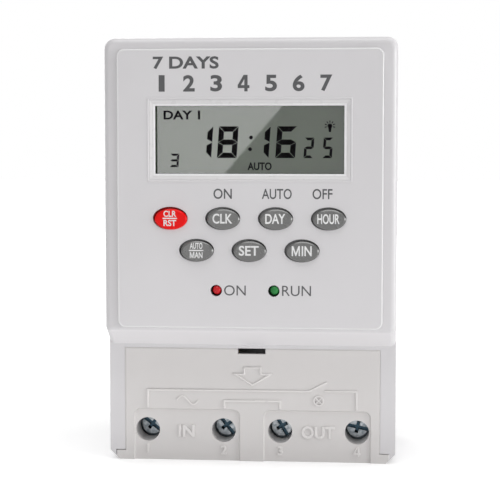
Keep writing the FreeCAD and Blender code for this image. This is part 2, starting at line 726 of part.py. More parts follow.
def lcd_glass():
    """Display glass: a full front sheet, and a back sheet that leaves the contact ledge."""
    half_w, bottom, top = glass_size()
    y = PANE_BACK_Y + FIT_GAP
    front = block(-half_w, half_w, y, y + GLASS_T / 2, bottom, top)
    back = block(-half_w, half_w, y + GLASS_T / 2, y + GLASS_T, bottom + STRIP_W + 2 * FIT_GAP, top)
    return front.fuse(back)


def strip_box(gap):
    """Room of the contact strip between the glass ledge and the board."""
    half_w, bottom, _top = glass_size()
    x = half_w - STRIP_SIDE + gap
    y = PANE_BACK_Y + FIT_GAP + GLASS_T / 2
    z = bottom + FIT_GAP
    return block(-x, x, y, BOARD_FRONT_Y, z - gap, z + STRIP_W + gap)


def lcd_frame():
    """Holder behind and around the glass, seated on the display board."""
    half_w, bottom, top = glass_size()
    y = PANE_BACK_Y + FIT_GAP
    grow = FIT_GAP / 2
    outer = block(-half_w - FRAME_WALL, half_w + FRAME_WALL, y, BOARD_FRONT_Y,
                  bottom - FRAME_WALL, top + FRAME_WALL)
    seat = block(-half_w - grow, half_w + grow, y - 1, y + GLASS_T, bottom - grow, top + grow)
    return outer.cut([seat, strip_box(grow)])


def zebra_strip():
    """Conductive rubber strip between the glass and the board."""
    return strip_box(0)


def keypad_mat():
    """Rubber mat on the display board, with a collar around each key."""
    xs = [x for _n, x, _z in key_places()]
    zs = [z for _n, _x, z in key_places()]
    mat = soft_block(min(xs) - KEY_W / 2 - MAT_MARGIN, max(xs) + KEY_W / 2 + MAT_MARGIN,
                     BOARD_FRONT_Y - MAT_T, BOARD_FRONT_Y,
                     min(zs) - KEY_H / 2 - MAT_MARGIN / 2, max(zs) + KEY_H / 2 + MAT_MARGIN / 2, 1.5)
    half_w = KEY_W / 2 + KEY_GAP
    half_h = KEY_H / 2 + KEY_GAP
    y0 = BOARD_FRONT_Y - MAT_COLLAR_H
    collars = []
    holes = []
    for _name, x, z in key_places():
        collars.append(oval(x, z, half_w + MAT_COLLAR_T, half_h + MAT_COLLAR_T, y0, BOARD_FRONT_Y))
        holes.append(oval(x, z, half_w, half_h, y0 - 1, BOARD_FRONT_Y + 1))
    return mat.fuse(collars).cut(holes)


def pill_front_y():
    """Front of a contact pill with its key at rest."""
    return BOARD_FRONT_Y - KEY_TRAVEL - 0.1 - PILL_T


def key(x, z):
    """Oval key with a soft front edge and a flange behind the panel."""
    cap = oval(x, z, KEY_W / 2, KEY_H / 2, PANEL_Y - KEY_PROUD, pill_front_y())
    cap = cap.makeFillet(KEY_EDGE_R, edges_on_plane(cap, PANEL_Y - KEY_PROUD))
    y = FACE_BACK_Y + FIT_GAP
    flange = oval(x, z, KEY_W / 2 + KEY_FLANGE, KEY_H / 2 + KEY_FLANGE, y, y + KEY_FLANGE_T)
    return cap.fuse(flange)


def contact_pill(x, z):
    """Carbon pill under a key."""
    return bar_y(x, z, PILL_R, pill_front_y(), pill_front_y() + PILL_T)


def led(x):
    """Round lamp with its flange and two leads down to the display board."""
    tip = PANEL_Y - LED_PROUD
    base = BOARD_FRONT_Y - 2 * LED_FLANGE_T
    straight = tip + LED_R
    body = bar_y(x, LED_Z, LED_R, straight, base)
    dome = Part.makeSphere(LED_R, Vector(x, straight, LED_Z))
    flange = bar_y(x, LED_Z, LED_FLANGE_R, base - LED_FLANGE_T, base)
    lamp = body.fuse([dome, flange])
    half = LED_LEAD / 2
    for side in (-LED_LEAD_PITCH, LED_LEAD_PITCH):
        lamp = lamp.fuse(block(x + side - half, x + side + half, base - 0.2, BOARD_BACK_Y + LEAD_OUT,
                               LED_Z - half, LED_Z + half))
    return lamp


def board(half_w, z0, z1, y0, screws, square_holes, round_holes):
    """Printed board with screw holes and lead holes."""
    plate = soft_block(-half_w, half_w, y0, y0 + BOARD_T, z0, z1, 1.0)
    cuts = [bar_y(x, z, BOARD_HOLE_R, y0 - 1, y0 + BOARD_T + 1) for x, z in screws]
    for x, z, half_x, half_z in square_holes:
        cuts.append(block(x - half_x, x + half_x, y0 - 1, y0 + BOARD_T + 1, z - half_z, z + half_z))
    for x, z in round_holes:
        cuts.append(bar_y(x, z, LEAD_R + LEAD_GAP, y0 - 1, y0 + BOARD_T + 1))
    return plate.cut(cuts)


def display_board():
    """Board that carries the display, the key contacts and the lamps."""
    half = LED_LEAD / 2 + LEAD_GAP
    holes = [(x + side, LED_Z, half, half) for x in (LED_POWER_X, LED_RUN_X)
             for side in (-LED_LEAD_PITCH, LED_LEAD_PITCH)]
    top = BODY_TOP_Z - DISPLAY_BOARD_TOP
    return board(BOARD_HALF_W, top - DISPLAY_BOARD_H, top, BOARD_FRONT_Y,
                 display_posts(), holes, [])


def power_board():
    """Board that carries the relay and the supply."""
    half = BAR_T / 2 + LEAD_GAP
    holes = [(x, bar_riser_z(), LEAD_W / 2 + LEAD_GAP, half) for x in bar_lead_xs()]
    top = BODY_TOP_Z - POWER_BOARD_TOP
    return board(BOARD_HALF_W, top - POWER_BOARD_H, top, POWER_FRONT_Y,
                 power_posts(), holes, power_lead_places())


def board_screw(x, z, head_y, toward):
    """Pan-head screw whose head seats at head_y and whose shank runs toward +Y or -Y."""
    head = sorted((head_y, head_y - toward * BOARD_SCREW_HEAD_T))
    shank = sorted((head_y, head_y + toward * BOARD_SCREW_L))
    return bar_y(x, z, BOARD_SCREW_HEAD_R, *head).fuse(bar_y(x, z, BOARD_SCREW_R, *shank))


def relay():
    """Relay in its sealed box, on four leads."""
    x0 = RELAY_X - RELAY_W / 2
    z0 = RELAY_Z - RELAY_H / 2
    box = block(x0, x0 + RELAY_W, POWER_FRONT_Y - RELAY_T, POWER_FRONT_Y, z0, z0 + RELAY_H)
    soft = [e for e in box.Edges if e.BoundBox.YMax < POWER_FRONT_Y - 0.01 or e.BoundBox.YLength > 1]
    return box.makeFillet(RELAY_CORNER, soft).fuse(leads(relay_leads()))


def relay_leads():
    """Places of the relay's leads."""
    x = RELAY_W / 2 - RELAY_LEAD_IN
    z = RELAY_H / 2 - RELAY_LEAD_IN
    return [(RELAY_X + sx * x, RELAY_Z + sz * z) for sx in (-1, 1) for sz in (-1, 1)]


def film_leads():
    """Places of the film capacitor's leads."""
    return [(FILM_X + side * (FILM_W / 2 - 1.5), FILM_Z) for side in (-1, 1)]


def can_leads():
    """Places of the electrolytic capacitors' leads."""
    return [(x + side * CAN_R / 2, CAN_Z) for x in CAN_XS for side in (-1, 1)]


def varistor_leads():
    """Places of the varistor's leads."""
    return [(VARISTOR_X, VARISTOR_Z + side * VARISTOR_R / 2) for side in (-1, 1)]


def power_lead_places():
    """All round leads that pass the power board."""
    return relay_leads() + film_leads() + can_leads() + varistor_leads()


def leads(places):
    """Round leads from a part on the power board to just past its back."""
    return [bar_y(x, z, LEAD_R, POWER_FRONT_Y - 0.5, POWER_BACK_Y + LEAD_OUT) for x, z in places]


def film_capacitor():
    """Boxed film capacitor of the dropper supply."""
    box = soft_block(FILM_X - FILM_W / 2, FILM_X + FILM_W / 2, POWER_FRONT_Y - FILM_T, POWER_FRONT_Y,
                     FILM_Z - FILM_H / 2, FILM_Z + FILM_H / 2, 1.0)
    return box.fuse(leads(film_leads()))


def electrolytic_capacitors():
    """Two aluminium cans with a rolled groove near the board."""
    cans = []
    y0 = POWER_FRONT_Y - CAN_L
    y1 = POWER_FRONT_Y
    bead = y1 - CAN_BEAD_RISE
    outline = [(0, y0), (CAN_R - CAN_BEAD_HALF, y0), (CAN_R, y0 + CAN_BEAD_HALF),
               (CAN_R, bead - CAN_BEAD_HALF), (CAN_R - CAN_GROOVE, bead), (CAN_R, bead + CAN_BEAD_HALF),
               (CAN_R, y1), (0, y1)]
    for x in CAN_XS:
        can = turned(x, CAN_Z, outline)
        cans.append(can.fuse(leads([p for p in can_leads() if abs(p[0] - x) < CAN_R])))
    return Part.makeCompound(cans)


def varistor():
    """Disc varistor standing on its leads."""
    y = POWER_FRONT_Y - VARISTOR_R - FIT_GAP
    disc = Part.makeCylinder(VARISTOR_R, VARISTOR_T, Vector(VARISTOR_X - VARISTOR_T / 2, y, VARISTOR_Z),
                             Vector(1, 0, 0))
    disc = disc.makeFillet(VARISTOR_T / 3, [e for e in disc.Edges if e.BoundBox.XLength < 0.01])
    legs = [bar_y(x, z, LEAD_R, y, POWER_BACK_Y + LEAD_OUT) for x, z in varistor_leads()]
    return disc.fuse(legs)


def axial_part(x, z, r, length, along):
    """Round part lying on the power board, with straight leads out of both ends."""
    y = POWER_FRONT_Y - r
    step = Vector(along[0], 0, along[1])
    centre = Vector(x, y, z)
    body = Part.makeCylinder(r, length, centre - step * (length / 2), step)
    wire = Part.makeCylinder(LEAD_R, length + 3, centre - step * (length / 2 + 1.5), step)
    legs = []
    for end in (-1, 1):
        foot = centre + step * (end * (length / 2 + 1.5))
        legs.append(bar_y(foot.x, foot.z, LEAD_R, y, POWER_FRONT_Y))
    return body.fuse([wire] + legs)


def rectifier_diodes():
    """Bridge of single diodes, side by side."""
    return Part.makeCompound([axial_part(DIODE_X + i * DIODE_PITCH, DIODE_Z, DIODE_R, DIODE_L, (0, 1))
                              for i in range(DIODES)])


def resistors():
    """Row of power resistors."""
    return Part.makeCompound([axial_part(RESISTOR_X + i * RESISTOR_PITCH, RESISTOR_Z + RESISTOR_L / 2,
                                         RESISTOR_R, RESISTOR_L, (0, 1)) for i in range(RESISTORS)])


def backup_battery():
    """Stack of three button cells in its sleeve, with the seams between the cells."""
    y = POWER_FRONT_Y - CELL_R
    x0 = CELL_X - CELL_L / 2
    outline = [(0, 0)]
    cell = CELL_L / 3
    for i in range(3):
        outline += [(CELL_R - 0.4, i * cell), (CELL_R, i * cell + 0.4), (CELL_R, (i + 1) * cell - 0.4),
                    (CELL_R - 0.4, (i + 1) * cell)]
    outline.append((0, CELL_L))
    corners = [Vector(x0 + along, y - r, CELL_Z) for r, along in outline]
    face = Part.Face(Part.makePolygon(corners + corners[:1]))
    return face.revolve(Vector(x0, y, CELL_Z), Vector(1, 0, 0), 360)


def battery_tabs():
    """Two welded tabs from the battery's ends to the board."""
    y = POWER_FRONT_Y - CELL_R
    tabs = []
    for sign in (-1, 1):
        x = CELL_X + sign * CELL_L / 2
        x0, x1 = sorted((x, x + sign * CELL_TAB_T))
        tabs.append(block(x0, x1, y - CELL_TAB_W / 2, POWER_FRONT_Y,
                          CELL_Z - CELL_TAB_W / 2, CELL_Z + CELL_TAB_W / 2))
    return Part.makeCompound(tabs)


def controller_chip():
    """Flat chip on the back of the display board, with gull-wing legs on all sides."""
    half = CHIP_W / 2
    y = BOARD_BACK_Y
    chip = block(CHIP_X - half, CHIP_X + half, y + 0.1, y + 0.1 + CHIP_T, CHIP_Z - half, CHIP_Z + half)
    legs = []
    first = -(CHIP_LEGS - 1) * CHIP_LEG_PITCH / 2
    reach = half + CHIP_LEG_OUT
    for i in range(CHIP_LEGS):
        a = first + i * CHIP_LEG_PITCH
        b = CHIP_LEG_W / 2
        legs.append(block(CHIP_X + a - b, CHIP_X + a + b, y, y + 0.4, CHIP_Z - reach, CHIP_Z + reach))
        legs.append(block(CHIP_X - reach, CHIP_X + reach, y, y + 0.4, CHIP_Z + a - b, CHIP_Z + a + b))
    belly = block(CHIP_X - half + 1, CHIP_X + half - 1, y - 1, y + 0.1, CHIP_Z - half + 1, CHIP_Z + half - 1)
    return chip.fuse(legs).cut(belly)


def crystal():
    """Clock crystal's can, lying on the back of the display board."""
    y = BOARD_BACK_Y + CRYSTAL_R
    can = Part.makeCylinder(CRYSTAL_R, CRYSTAL_L, Vector(CRYSTAL_X, y, CRYSTAL_Z - CRYSTAL_L / 2))
    ends = [e for e in can.Edges if e.BoundBox.ZLength < 0.01 and e.CenterOfMass.z > CRYSTAL_Z]
    return can.makeFillet(0.3, ends)


def ribbon_cable():
    """Flat cable between the boards, in a gentle S."""
    x0 = RIBBON_X - RIBBON_W / 2
    y0 = POWER_FRONT_Y
    y1 = BOARD_BACK_Y
    z0 = RIBBON_Z
    z1 = z0 + RIBBON_SHIFT
    mid = Vector(x0, (y0 + y1) / 2, (z0 + z1) / 2)
    run = (y0 - y1) / 2
    radius = (run * run + (RIBBON_SHIFT / 2) ** 2) / RIBBON_SHIFT
    edges = []
    for y, z, side in ((y0, z0, 1), (y1, z1, -1)):
        start = Vector(x0, y, z)
        angle = math.asin(run / radius) / 2
        toward = -1 if side > 0 else 1
        bow = Vector(x0, y + toward * radius * math.sin(angle), z + side * radius * (1 - math.cos(angle)))
        edges.append(Part.Arc(start, bow, mid).toShape())
    path = Part.Wire(Part.__sortEdges__(edges))
    cable = band(path, RIBBON_T).extrude(Vector(RIBBON_W, 0, 0))
    return cable.common(block(x0, x0 + RIBBON_W, y1, y0, z0 - RIBBON_T, z1 + RIBBON_T))


def bar_riser_z():
    """Height of the bars' risers, just above the wall between bay and housing."""
    return BAY_TOP_Z + WALL + BAR_T / 2 + CAVITY_GAP


def bar_lead_xs():
    """Places across the body where the three bars reach the power board."""
    return (-TERMINAL_OUTER_X, -TERMINAL_INNER_X, TERMINAL_OUTER_X)


def bar_passages():
    """Places and half widths of the slots that the bars pass."""
    wide = BAR_W / 2 + CAVITY_GAP
    return ((-TERMINAL_OUTER_X, wide), (-TERMINAL_INNER_X, wide), (TERMINAL_OUTER_X, wide))


def bar_foot(x):
    """Terminal end of a bar, with its drawn and tapped boss."""
    z0 = TERMINAL_Z - BAR_FOOT
    strip = block(x - BAR_W / 2, x + BAR_W / 2, BAR_TOP_Y, DECK_Y, z0, TERMINAL_Z + BAR_FOOT)
    boss = bar_y(x, TERMINAL_Z, BAR_BOSS_R, DECK_Y - BAR_T / 2, DECK_Y + BAR_BOSS_D)
    hole = bar_y(x, TERMINAL_Z, SCREW_R + THREAD_GAP, BAR_TOP_Y - 1, DECK_Y + BAR_BOSS_D + 1)
    return strip.fuse(boss), hole


def bar_run(x):
    """Strip from a terminal into the housing, with the riser down to the power board."""
    riser_z = bar_riser_z()
    strip = block(x - BAR_W / 2, x + BAR_W / 2, BAR_TOP_Y, DECK_Y, TERMINAL_Z, riser_z + BAR_T / 2)
    riser = block(x - LEAD_W / 2, x + LEAD_W / 2, BAR_TOP_Y, POWER_BACK_Y + LEAD_OUT,
                  riser_z - BAR_T / 2, riser_z + BAR_T / 2)
    return strip.fuse(riser)


def outer_bar(x):
    """Bar of one outer terminal."""
    foot, hole = bar_foot(x)
    return foot.fuse(bar_run(x)).cut(hole)


def neutral_bar():
    """Bar that links the two inner terminals and feeds the supply."""
    left, left_hole = bar_foot(-TERMINAL_INNER_X)
    right, right_hole = bar_foot(TERMINAL_INNER_X)
    x = TERMINAL_INNER_X + BAR_W / 2
    z0 = BAY_FLOOR_Z + MIDDLE_RIB_H + CAVITY_GAP
    link = block(-x, x, BAR_TOP_Y, DECK_Y, z0, z0 + BAR_LINK_W)
    stem = block(TERMINAL_INNER_X - BAR_W / 2, x, BAR_TOP_Y, DECK_Y, TERMINAL_Z, z0 + BAR_LINK_W)
    bar = left.fuse([right, link, stem, bar_run(-TERMINAL_INNER_X)])
    return bar.cut([left_hole, right_hole])


def wire_clamp(x):
    """Square clamp under a screw head, with lips beside the bar."""
    half_h = CLAMP_H / 2
    z0 = TERMINAL_Z - half_h
    clamp = block(x - CLAMP_W / 2, x + CLAMP_W / 2, HEAD_BACK_Y, CLAMP_BACK_Y, z0, z0 + CLAMP_H)
    for sign in (-1, 1):
        x0, x1 = sorted((x + sign * CLAMP_W / 2, x + sign * (CLAMP_W / 2 - CLAMP_LIP)))
        clamp = clamp.fuse(block(x0, x1, HEAD_BACK_Y, CLAMP_BACK_Y + CLAMP_LIP_D, z0, z0 + CLAMP_H))
    corners = [e for e in clamp.Edges if abs(e.CenterOfMass.x - x) > CLAMP_W / 2 - 0.01
               and e.BoundBox.ZLength > CLAMP_H - 0.1 and e.CenterOfMass.y < HEAD_BACK_Y + 0.01]
    clamp = clamp.makeFillet(CLAMP_T / 2, corners)
    return clamp.cut(bar_y(x, TERMINAL_Z, SCREW_R + THREAD_GAP, HEAD_BACK_Y - 1, CLAMP_BACK_Y + 1))


def terminal_screw(x):
    """Pan-head terminal screw with a slot and cross recess."""
    top = HEAD_TOP_Y
    outline = [(0, top), (SCREW_HEAD_R - SCREW_HEAD_EDGE, top), (SCREW_HEAD_R, top + SCREW_HEAD_EDGE),
               (SCREW_HEAD_R, HEAD_BACK_Y), (SCREW_R, HEAD_BACK_Y), (SCREW_R, HEAD_BACK_Y + SCREW_L - 0.5),
               (SCREW_R - 0.5, HEAD_BACK_Y + SCREW_L), (0, HEAD_BACK_Y + SCREW_L)]
    screw = turned(x, TERMINAL_Z, outline)
    reach = SCREW_HEAD_R + 1
    half = SCREW_SLOT_W / 2
    slot = block(x - reach, x + reach, top - 1, top + SCREW_SLOT_D, TERMINAL_Z - half, TERMINAL_Z + half)
    half = SCREW_CROSS_W / 2
    reach = SCREW_CROSS_L / 2
    upright = block(x - half, x + half, top - 1, top + SCREW_CROSS_D, TERMINAL_Z - reach, TERMINAL_Z + reach)
    level = block(x - reach, x + reach, top - 1, top + SCREW_CROSS_D, TERMINAL_Z - half, TERMINAL_Z + half)
    return screw.cut([slot, upright, level])


def housing_screws():
    """Four long self-tapping screws, driven from the back."""
    screws = []
    for x, z in case_corners():
        head = bar_y(x, z, CASE_SCREW_HEAD_R, -CASE_SCREW_DEPTH, -CASE_SCREW_DEPTH + CASE_SCREW_HEAD_T)
        shank = bar_y(x, z, CASE_SCREW_R, CASE_TIP_Y, -CASE_SCREW_DEPTH)
        cross = [block(x - 1.6, x + 1.6, -CASE_SCREW_DEPTH + 0.8, 0, z - 0.4, z + 0.4),
                 block(x - 0.4, x + 0.4, -CASE_SCREW_DEPTH + 0.8, 0, z - 1.6, z + 1.6)]
        screws.append(head.fuse(shank).cut(cross))
    return Part.makeCompound(screws)


def display_board_screws():
    """Four screws that hold the display board to the front moulding."""
    return Part.makeCompound([board_screw(x, z, BOARD_BACK_Y, -1) for x, z in display_posts()])


def power_board_screws():
    """Four screws that hold the power board to the rear moulding."""
    return Part.makeCompound([board_screw(x, z, POWER_FRONT_Y, 1) for x, z in power_posts()])


def rail_clip():
    """Sliding clip: ramped nose, side flanges, spring window and screwdriver slot."""
    half = CLIP_W / 2
    front = CLIP_FRONT_Y + CLIP_GAP
    back = front + CLIP_T - CLIP_GAP
    body = block(-half, half, front, back, CLIP_BOTTOM_Z, CLIP_NOSE_Z)
    flange = block(-half - CLIP_FLANGE, half + CLIP_FLANGE, front, front + CLIP_FLANGE_T,
                   CLIP_BOTTOM_Z, -RAIL_HALF - CLIP_NOSE_RAMP)
    clip = body.fuse(flange)
    ramp_z = CLIP_NOSE_Z - (CLIP_T - CLIP_FLANGE_T)
    ramp = prism([(front + CLIP_FLANGE_T, CLIP_NOSE_Z + 1), (front + CLIP_FLANGE_T, CLIP_NOSE_Z),
                  (back + 1, ramp_z - 1), (back + 1, CLIP_NOSE_Z + 1)], -half - 1, half + 1)
    slot_top = CLIP_NOSE_Z - CLIP_SLOT_TOP
    slot = block(-CLIP_SLOT_W / 2, CLIP_SLOT_W / 2, front - 1, back + 1, slot_top - CLIP_SLOT_H, slot_top)
    pull_z = CLIP_BOTTOM_Z + CLIP_PULL_RISE
    pull = soft_block(-CLIP_PULL_W / 2, CLIP_PULL_W / 2, front - 1, back + 1,
                      pull_z, pull_z + CLIP_PULL_H, CLIP_PULL_H / 2 - 0.05)
    return clip.cut([ramp, slot, pull])


def rail_clip_spring():
    """Meander spring in the clip's window, between the window's top and the fixed peg."""
    top = CLIP_NOSE_Z - CLIP_SLOT_TOP - SPRING_END_GAP
    bottom = CLIP_NOSE_Z - CLIP_SLOT_TOP - CLIP_SLOT_H + SPRING_END_GAP * 3 + PEG_H
    pitch = (top - bottom - SPRING_T) / SPRING_LEGS
    r = pitch / 2
    reach = CLIP_SLOT_W / 2 - SPRING_END_GAP - SPRING_T / 2 - r
    edges = []
    z = bottom + SPRING_T / 2
    for i in range(SPRING_LEGS + 1):
        side = 1 if i % 2 == 0 else -1
        edges.append(Part.makeLine(Vector(-side * reach, 0, z), Vector(side * reach, 0, z)))
        if i < SPRING_LEGS:
            edges.append(Part.Arc(Vector(side * reach, 0, z), Vector(side * (reach + r), 0, z + r),
                                  Vector(side * reach, 0, z + pitch)).toShape())
        z += pitch
    path = Part.Wire(edges)
    strip = band(path, SPRING_T)
    front = CLIP_FRONT_Y + CLIP_GAP
    strip.translate(Vector(0, front, 0))
    return strip.extrude(Vector(0, CLIP_FLANGE_T, 0))


def build():
    """All nodes by name."""
    parts = {
        "front_case": front_case(),
        "rear_case": rear_case(),
        "terminal_cover": terminal_cover(),
        "lcd_window": lcd_window(),
        "lcd_glass": lcd_glass(),
        "lcd_frame": lcd_frame(),
        "zebra_strip": zebra_strip(),
        "keypad_mat": keypad_mat(),
        "display_board": display_board(),
        "display_board_screws": display_board_screws(),
        "controller_chip": controller_chip(),
        "crystal": crystal(),
        "led_power": led(LED_POWER_X),
        "led_run": led(LED_RUN_X),
        "ribbon_cable": ribbon_cable(),
        "power_board": power_board(),
        "power_board_screws": power_board_screws(),
        "relay": relay(),
        "film_capacitor": film_capacitor(),
        "electrolytic_capacitors": electrolytic_capacitors(),
        "varistor": varistor(),
        "rectifier_diodes": rectifier_diodes(),
        "resistors": resistors(),
        "backup_battery": backup_battery(),
        "battery_tabs": battery_tabs(),
        "line_bar": outer_bar(-TERMINAL_OUTER_X),
        "neutral_bar": neutral_bar(),
        "load_bar": outer_bar(TERMINAL_OUTER_X),
        "housing_screws": housing_screws(),
        "rail_clip": rail_clip(),
        "rail_clip_spring": rail_clip_spring(),
    }
    for name, x, z in key_places():
        parts[name] = key(x, z)
        parts[name + "_pill"] = contact_pill(x, z)
    for number, x in enumerate(TERMINAL_XS, 1):
        parts["wire_clamp_%d" % number] = wire_clamp(x)
        parts["terminal_screw_%d" % number] = terminal_screw(x)
    return parts


def main():
    """Write one file per node."""
    os.makedirs("parts", exist_ok=True)
    for name, shape in sorted(build().items()):
        shape.exportStep("parts/%s.step" % name)
        print("%-26s solids %d  valid %s  volume %.1f" %
              (name, len(shape.Solids), shape.isValid(), shape.Volume))


main()
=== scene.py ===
import math

import bmesh
import bpy
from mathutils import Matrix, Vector


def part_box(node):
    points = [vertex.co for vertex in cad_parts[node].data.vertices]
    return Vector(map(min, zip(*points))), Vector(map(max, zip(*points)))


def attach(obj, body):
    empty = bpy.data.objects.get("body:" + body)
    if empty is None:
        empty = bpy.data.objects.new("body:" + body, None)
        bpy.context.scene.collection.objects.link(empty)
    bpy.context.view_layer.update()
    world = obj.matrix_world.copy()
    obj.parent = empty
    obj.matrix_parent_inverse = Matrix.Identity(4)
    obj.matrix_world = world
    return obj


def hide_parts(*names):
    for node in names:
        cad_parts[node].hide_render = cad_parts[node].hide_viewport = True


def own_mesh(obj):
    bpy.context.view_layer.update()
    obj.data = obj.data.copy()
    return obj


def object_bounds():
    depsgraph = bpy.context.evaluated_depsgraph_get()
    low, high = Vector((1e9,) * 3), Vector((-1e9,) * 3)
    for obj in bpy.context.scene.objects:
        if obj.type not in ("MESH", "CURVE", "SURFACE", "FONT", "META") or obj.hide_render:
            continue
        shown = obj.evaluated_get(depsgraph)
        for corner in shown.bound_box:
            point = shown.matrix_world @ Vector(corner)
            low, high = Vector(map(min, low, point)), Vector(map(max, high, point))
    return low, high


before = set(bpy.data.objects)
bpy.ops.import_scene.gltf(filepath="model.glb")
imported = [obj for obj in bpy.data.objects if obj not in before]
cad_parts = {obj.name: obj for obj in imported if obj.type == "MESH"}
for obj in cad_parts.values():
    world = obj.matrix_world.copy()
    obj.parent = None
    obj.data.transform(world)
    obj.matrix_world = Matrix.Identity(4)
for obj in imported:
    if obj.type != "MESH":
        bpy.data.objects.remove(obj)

bl_info = {
    "name": "Timer Switch",
    "version": (1, 0, 0),
    "blender": (4, 5, 0),
    "location": "3D View > Sidebar > Timer Switch",
    "description": "Dresses the packed solids of a seven-day timer switch",
    "category": "Object",
}

MM = 0.001
UPRIGHT = (math.radians(90), 0, 0)
LABEL = "timer "
CAD_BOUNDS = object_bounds()

# Places on the solids, in millimetres: x across, y negative towards the front, z up.
# The raised panel's and the window's are the middle's x and z, half the width and half the height.
PANEL_Y = -52.0
PANEL_WALL = 2.2
PLATEAU = (0.0, 18.15, 37.5, 39.3)
PLATEAU_R = 2.1
WINDOW = (0.0, 32.0, 26.65, 9.575)
PANE_FRONT_Y = -50.85
GLASS_FRONT_Y = -49.45
SLOPE_Z = (-27.0, -22.0)
SLOPE_HALF_W = 39.6
COVER_Y = -43.65
COVER_HALF_W = 36.88
COVER_TOP_Z = -28.1
SUNK_Y = -43.05
FIELD_X = (3.37, 34.37)
FIELD_TOP_Z = -45.8
FIELD_R = 2.0
BAY_FLOOR_Z = -58.0
BOTTOM_Z = -60.9
NOTCH_HALF_W = 4.0
TUBE_R = 3.5
TUBE_END_Y = -36.95
TERMINAL_Z = -52.04
TERMINAL_XS = (-30.37, -8.19, 8.19, 30.37)
SCREW_TOP_Y = -34.55
SCREW_BACK_Y = -32.15
LAMP_BACK_Y = -46.4

# Lamps: node, finish and slot; then the dome's radius, the flange's radius and thickness, and the shift
LAMPS = (("led_power", "red lamp", "red_lamp"), ("led_run", "green lamp", "green_lamp"))
LAMP_R = 1.3
LAMP_FLANGE_R = 1.6
LAMP_FLANGE = 1.0
LAMP_SHIFT = Vector((0.20, 0, 0.18))

# Keys, in millimetres: the flange behind the panel and its gap, and what a cap differs by from its solid
KEY_FLANGE = 0.9
KEY_FLANGE_GAP = 0.3
KEY_NARROWER = 0.1
KEY_LOWER = 0.07
KEY_SHIFT = Vector((0.25, 0, -0.25))
KEY_LEGENDS = {
    "key_reset": ("CLR", "RST"),
    "key_clock": ("CLK",),
    "key_day": ("DAY",),
    "key_hour": ("HOUR",),
    "key_mode": ("AUTO", "MAN"),
    "key_program": ("SET",),
    "key_minute": ("MIN",),
}
# Steepness in degrees and length, as a share of the edge's width, of each step across a key's edge
KEY_EDGE = ((75, 0.08), (60, 0.08), (48, 0.10), (38, 0.70), (28, 0.08), (18, 0.08), (9, 0.08), (3, 0.08))

# Shares of a word's width that its M and the gap after it take
M_SHARES = {"MIN": (0.41, 0.09), "MAN": (0.36, 0.02)}
# Panel printing: piece, text, centre, height, width, boldness and ink
PRINTS = (
    ("print_hours", "7 DAYS", (-17.8, 53.55), 3.5, 18.6, 0.3, "dark ink"),
    ("print_on", "ON", (-7.45, 16.9), 2.9, 5.2, 0.12, "dark ink"),
    ("print_auto", "AUTO", (7.8, 16.9), 2.9, 8.4, 0.12, "dark ink"),
    ("print_off", "OFF", (20.6, 16.9), 2.9, 5.6, 0.12, "dark ink"),
    ("print_lamp_on", "ON", (-4.0, -10.35), 2.9, None, 0.0, "grey ink"),
    ("print_lamp_run", "RUN", (13.4, -10.35), 2.9, None, 0.0, "grey ink"),
)
# Row of the day numbers on the panel: its left and right ends, its height and the numbers' size
DAY_ROW_X = (-28.45, 25.4)
DAY_ROW_Z = 47.8
DAY_NUMBER_H = 4.6
DAYS = 7

# Display: thickness of what is lit, and how far the digits lean
LIT = 0.03
LEAN = 4.0
# Rows of digits with their left ends, then their bottom, width, height, bar and gap
DIGITS = (
    ((("1", -16.22), ("8", -9.02), ("1", 0.02), ("6", 7.47)), (26.9, 5.55, 8.9, 1.5, 0.2)),
    ((("2", 15.3), ("5", 20.6)), (26.9, 2.65, 5.75, 0.75, 0.16)),
    ((("3", -22.7),), (24.32, 2.55, 3.8, 0.62, 0.16)),
)
COLON = ((0.33, 32.67), (0.06, 29.38))
COLON_R = 0.52
# Lit segments of the digits that it shows
LIT_SEGMENTS = {"1": "bc", "2": "abdeg", "3": "abcdg", "5": "acdfg", "6": "acdefg", "8": "abcdefg"}

# Terminal screws, in millimetres and degrees
SCREW_R = 3.3
SCREW_TURNS = (38, 52, 60, 12)
SCREW_RECESS = (("slot", (7.4, 1.8, 1.1)), ("cross_a", (4.6, 2.4, 1.35)), ("cross_b", (1.35, 2.4, 4.6)))
THREAD_CORE_R = 1.72
THREAD_LENGTH = 7.6
THREAD_PITCH = 0.7

# Studio, in metres, radians and watts; each lamp's name, place, width, height and power
CAMERA_PLACE = (0.0384, -0.4698, 0.0318)
CAMERA_TURN = (math.pi / 2 - 0.073, 0, 0.091)
CAMERA_LENS = 107.7
SOFTBOXES = (
    ("softbox_right", (0.85, -0.28, -0.01), 0.50, 0.50, 5.85),
    ("softbox_top", (0.05, -0.25, 0.85), 0.80, 0.60, 4.15),
    ("softbox_back", (-0.50, 0.75, 0.25), 0.80, 0.80, 5.0),
)
FLOOR_CARD = ("floor_card", (0.02, -0.09, CAD_BOUNDS[0][2] + 0.002), 0.26, 0.06, 0.025)
WINDOW_CARD = ("window_card", (-0.1695, -0.90, 0.1139), 0.25, 0.30, 0.345)
WINDOW_CARD_TURN = (math.radians(90), math.radians(40.7), 0)
WORLD_LIGHT = 0.42
# The floor's own glow, which grows from near the object to its far end
FLOOR_GLOW = ((0.06, 0.20), (0.32, 0.75))

# Finishes of the solids that the housing hides, and of the fixings at the back
INSIDE = {
    "spring steel": ("housing_screws", "display_board_screws", "power_board_screws", "crystal",
                     "battery_tabs"),
    "board": ("display_board", "power_board"),
    "white plastic": ("lcd_frame",),
    "grey rubber": ("zebra_strip", "keypad_mat"),
    "black plastic": ("controller_chip", "electrolytic_capacitors", "rectifier_diodes"),
    "grey plastic": ("ribbon_cable", "resistors"),
    "blue plastic": ("relay", "varistor"),
    "yellow plastic": ("film_capacitor",),
    "green plastic": ("backup_battery",),
}


# ---- Working with objects and meshes

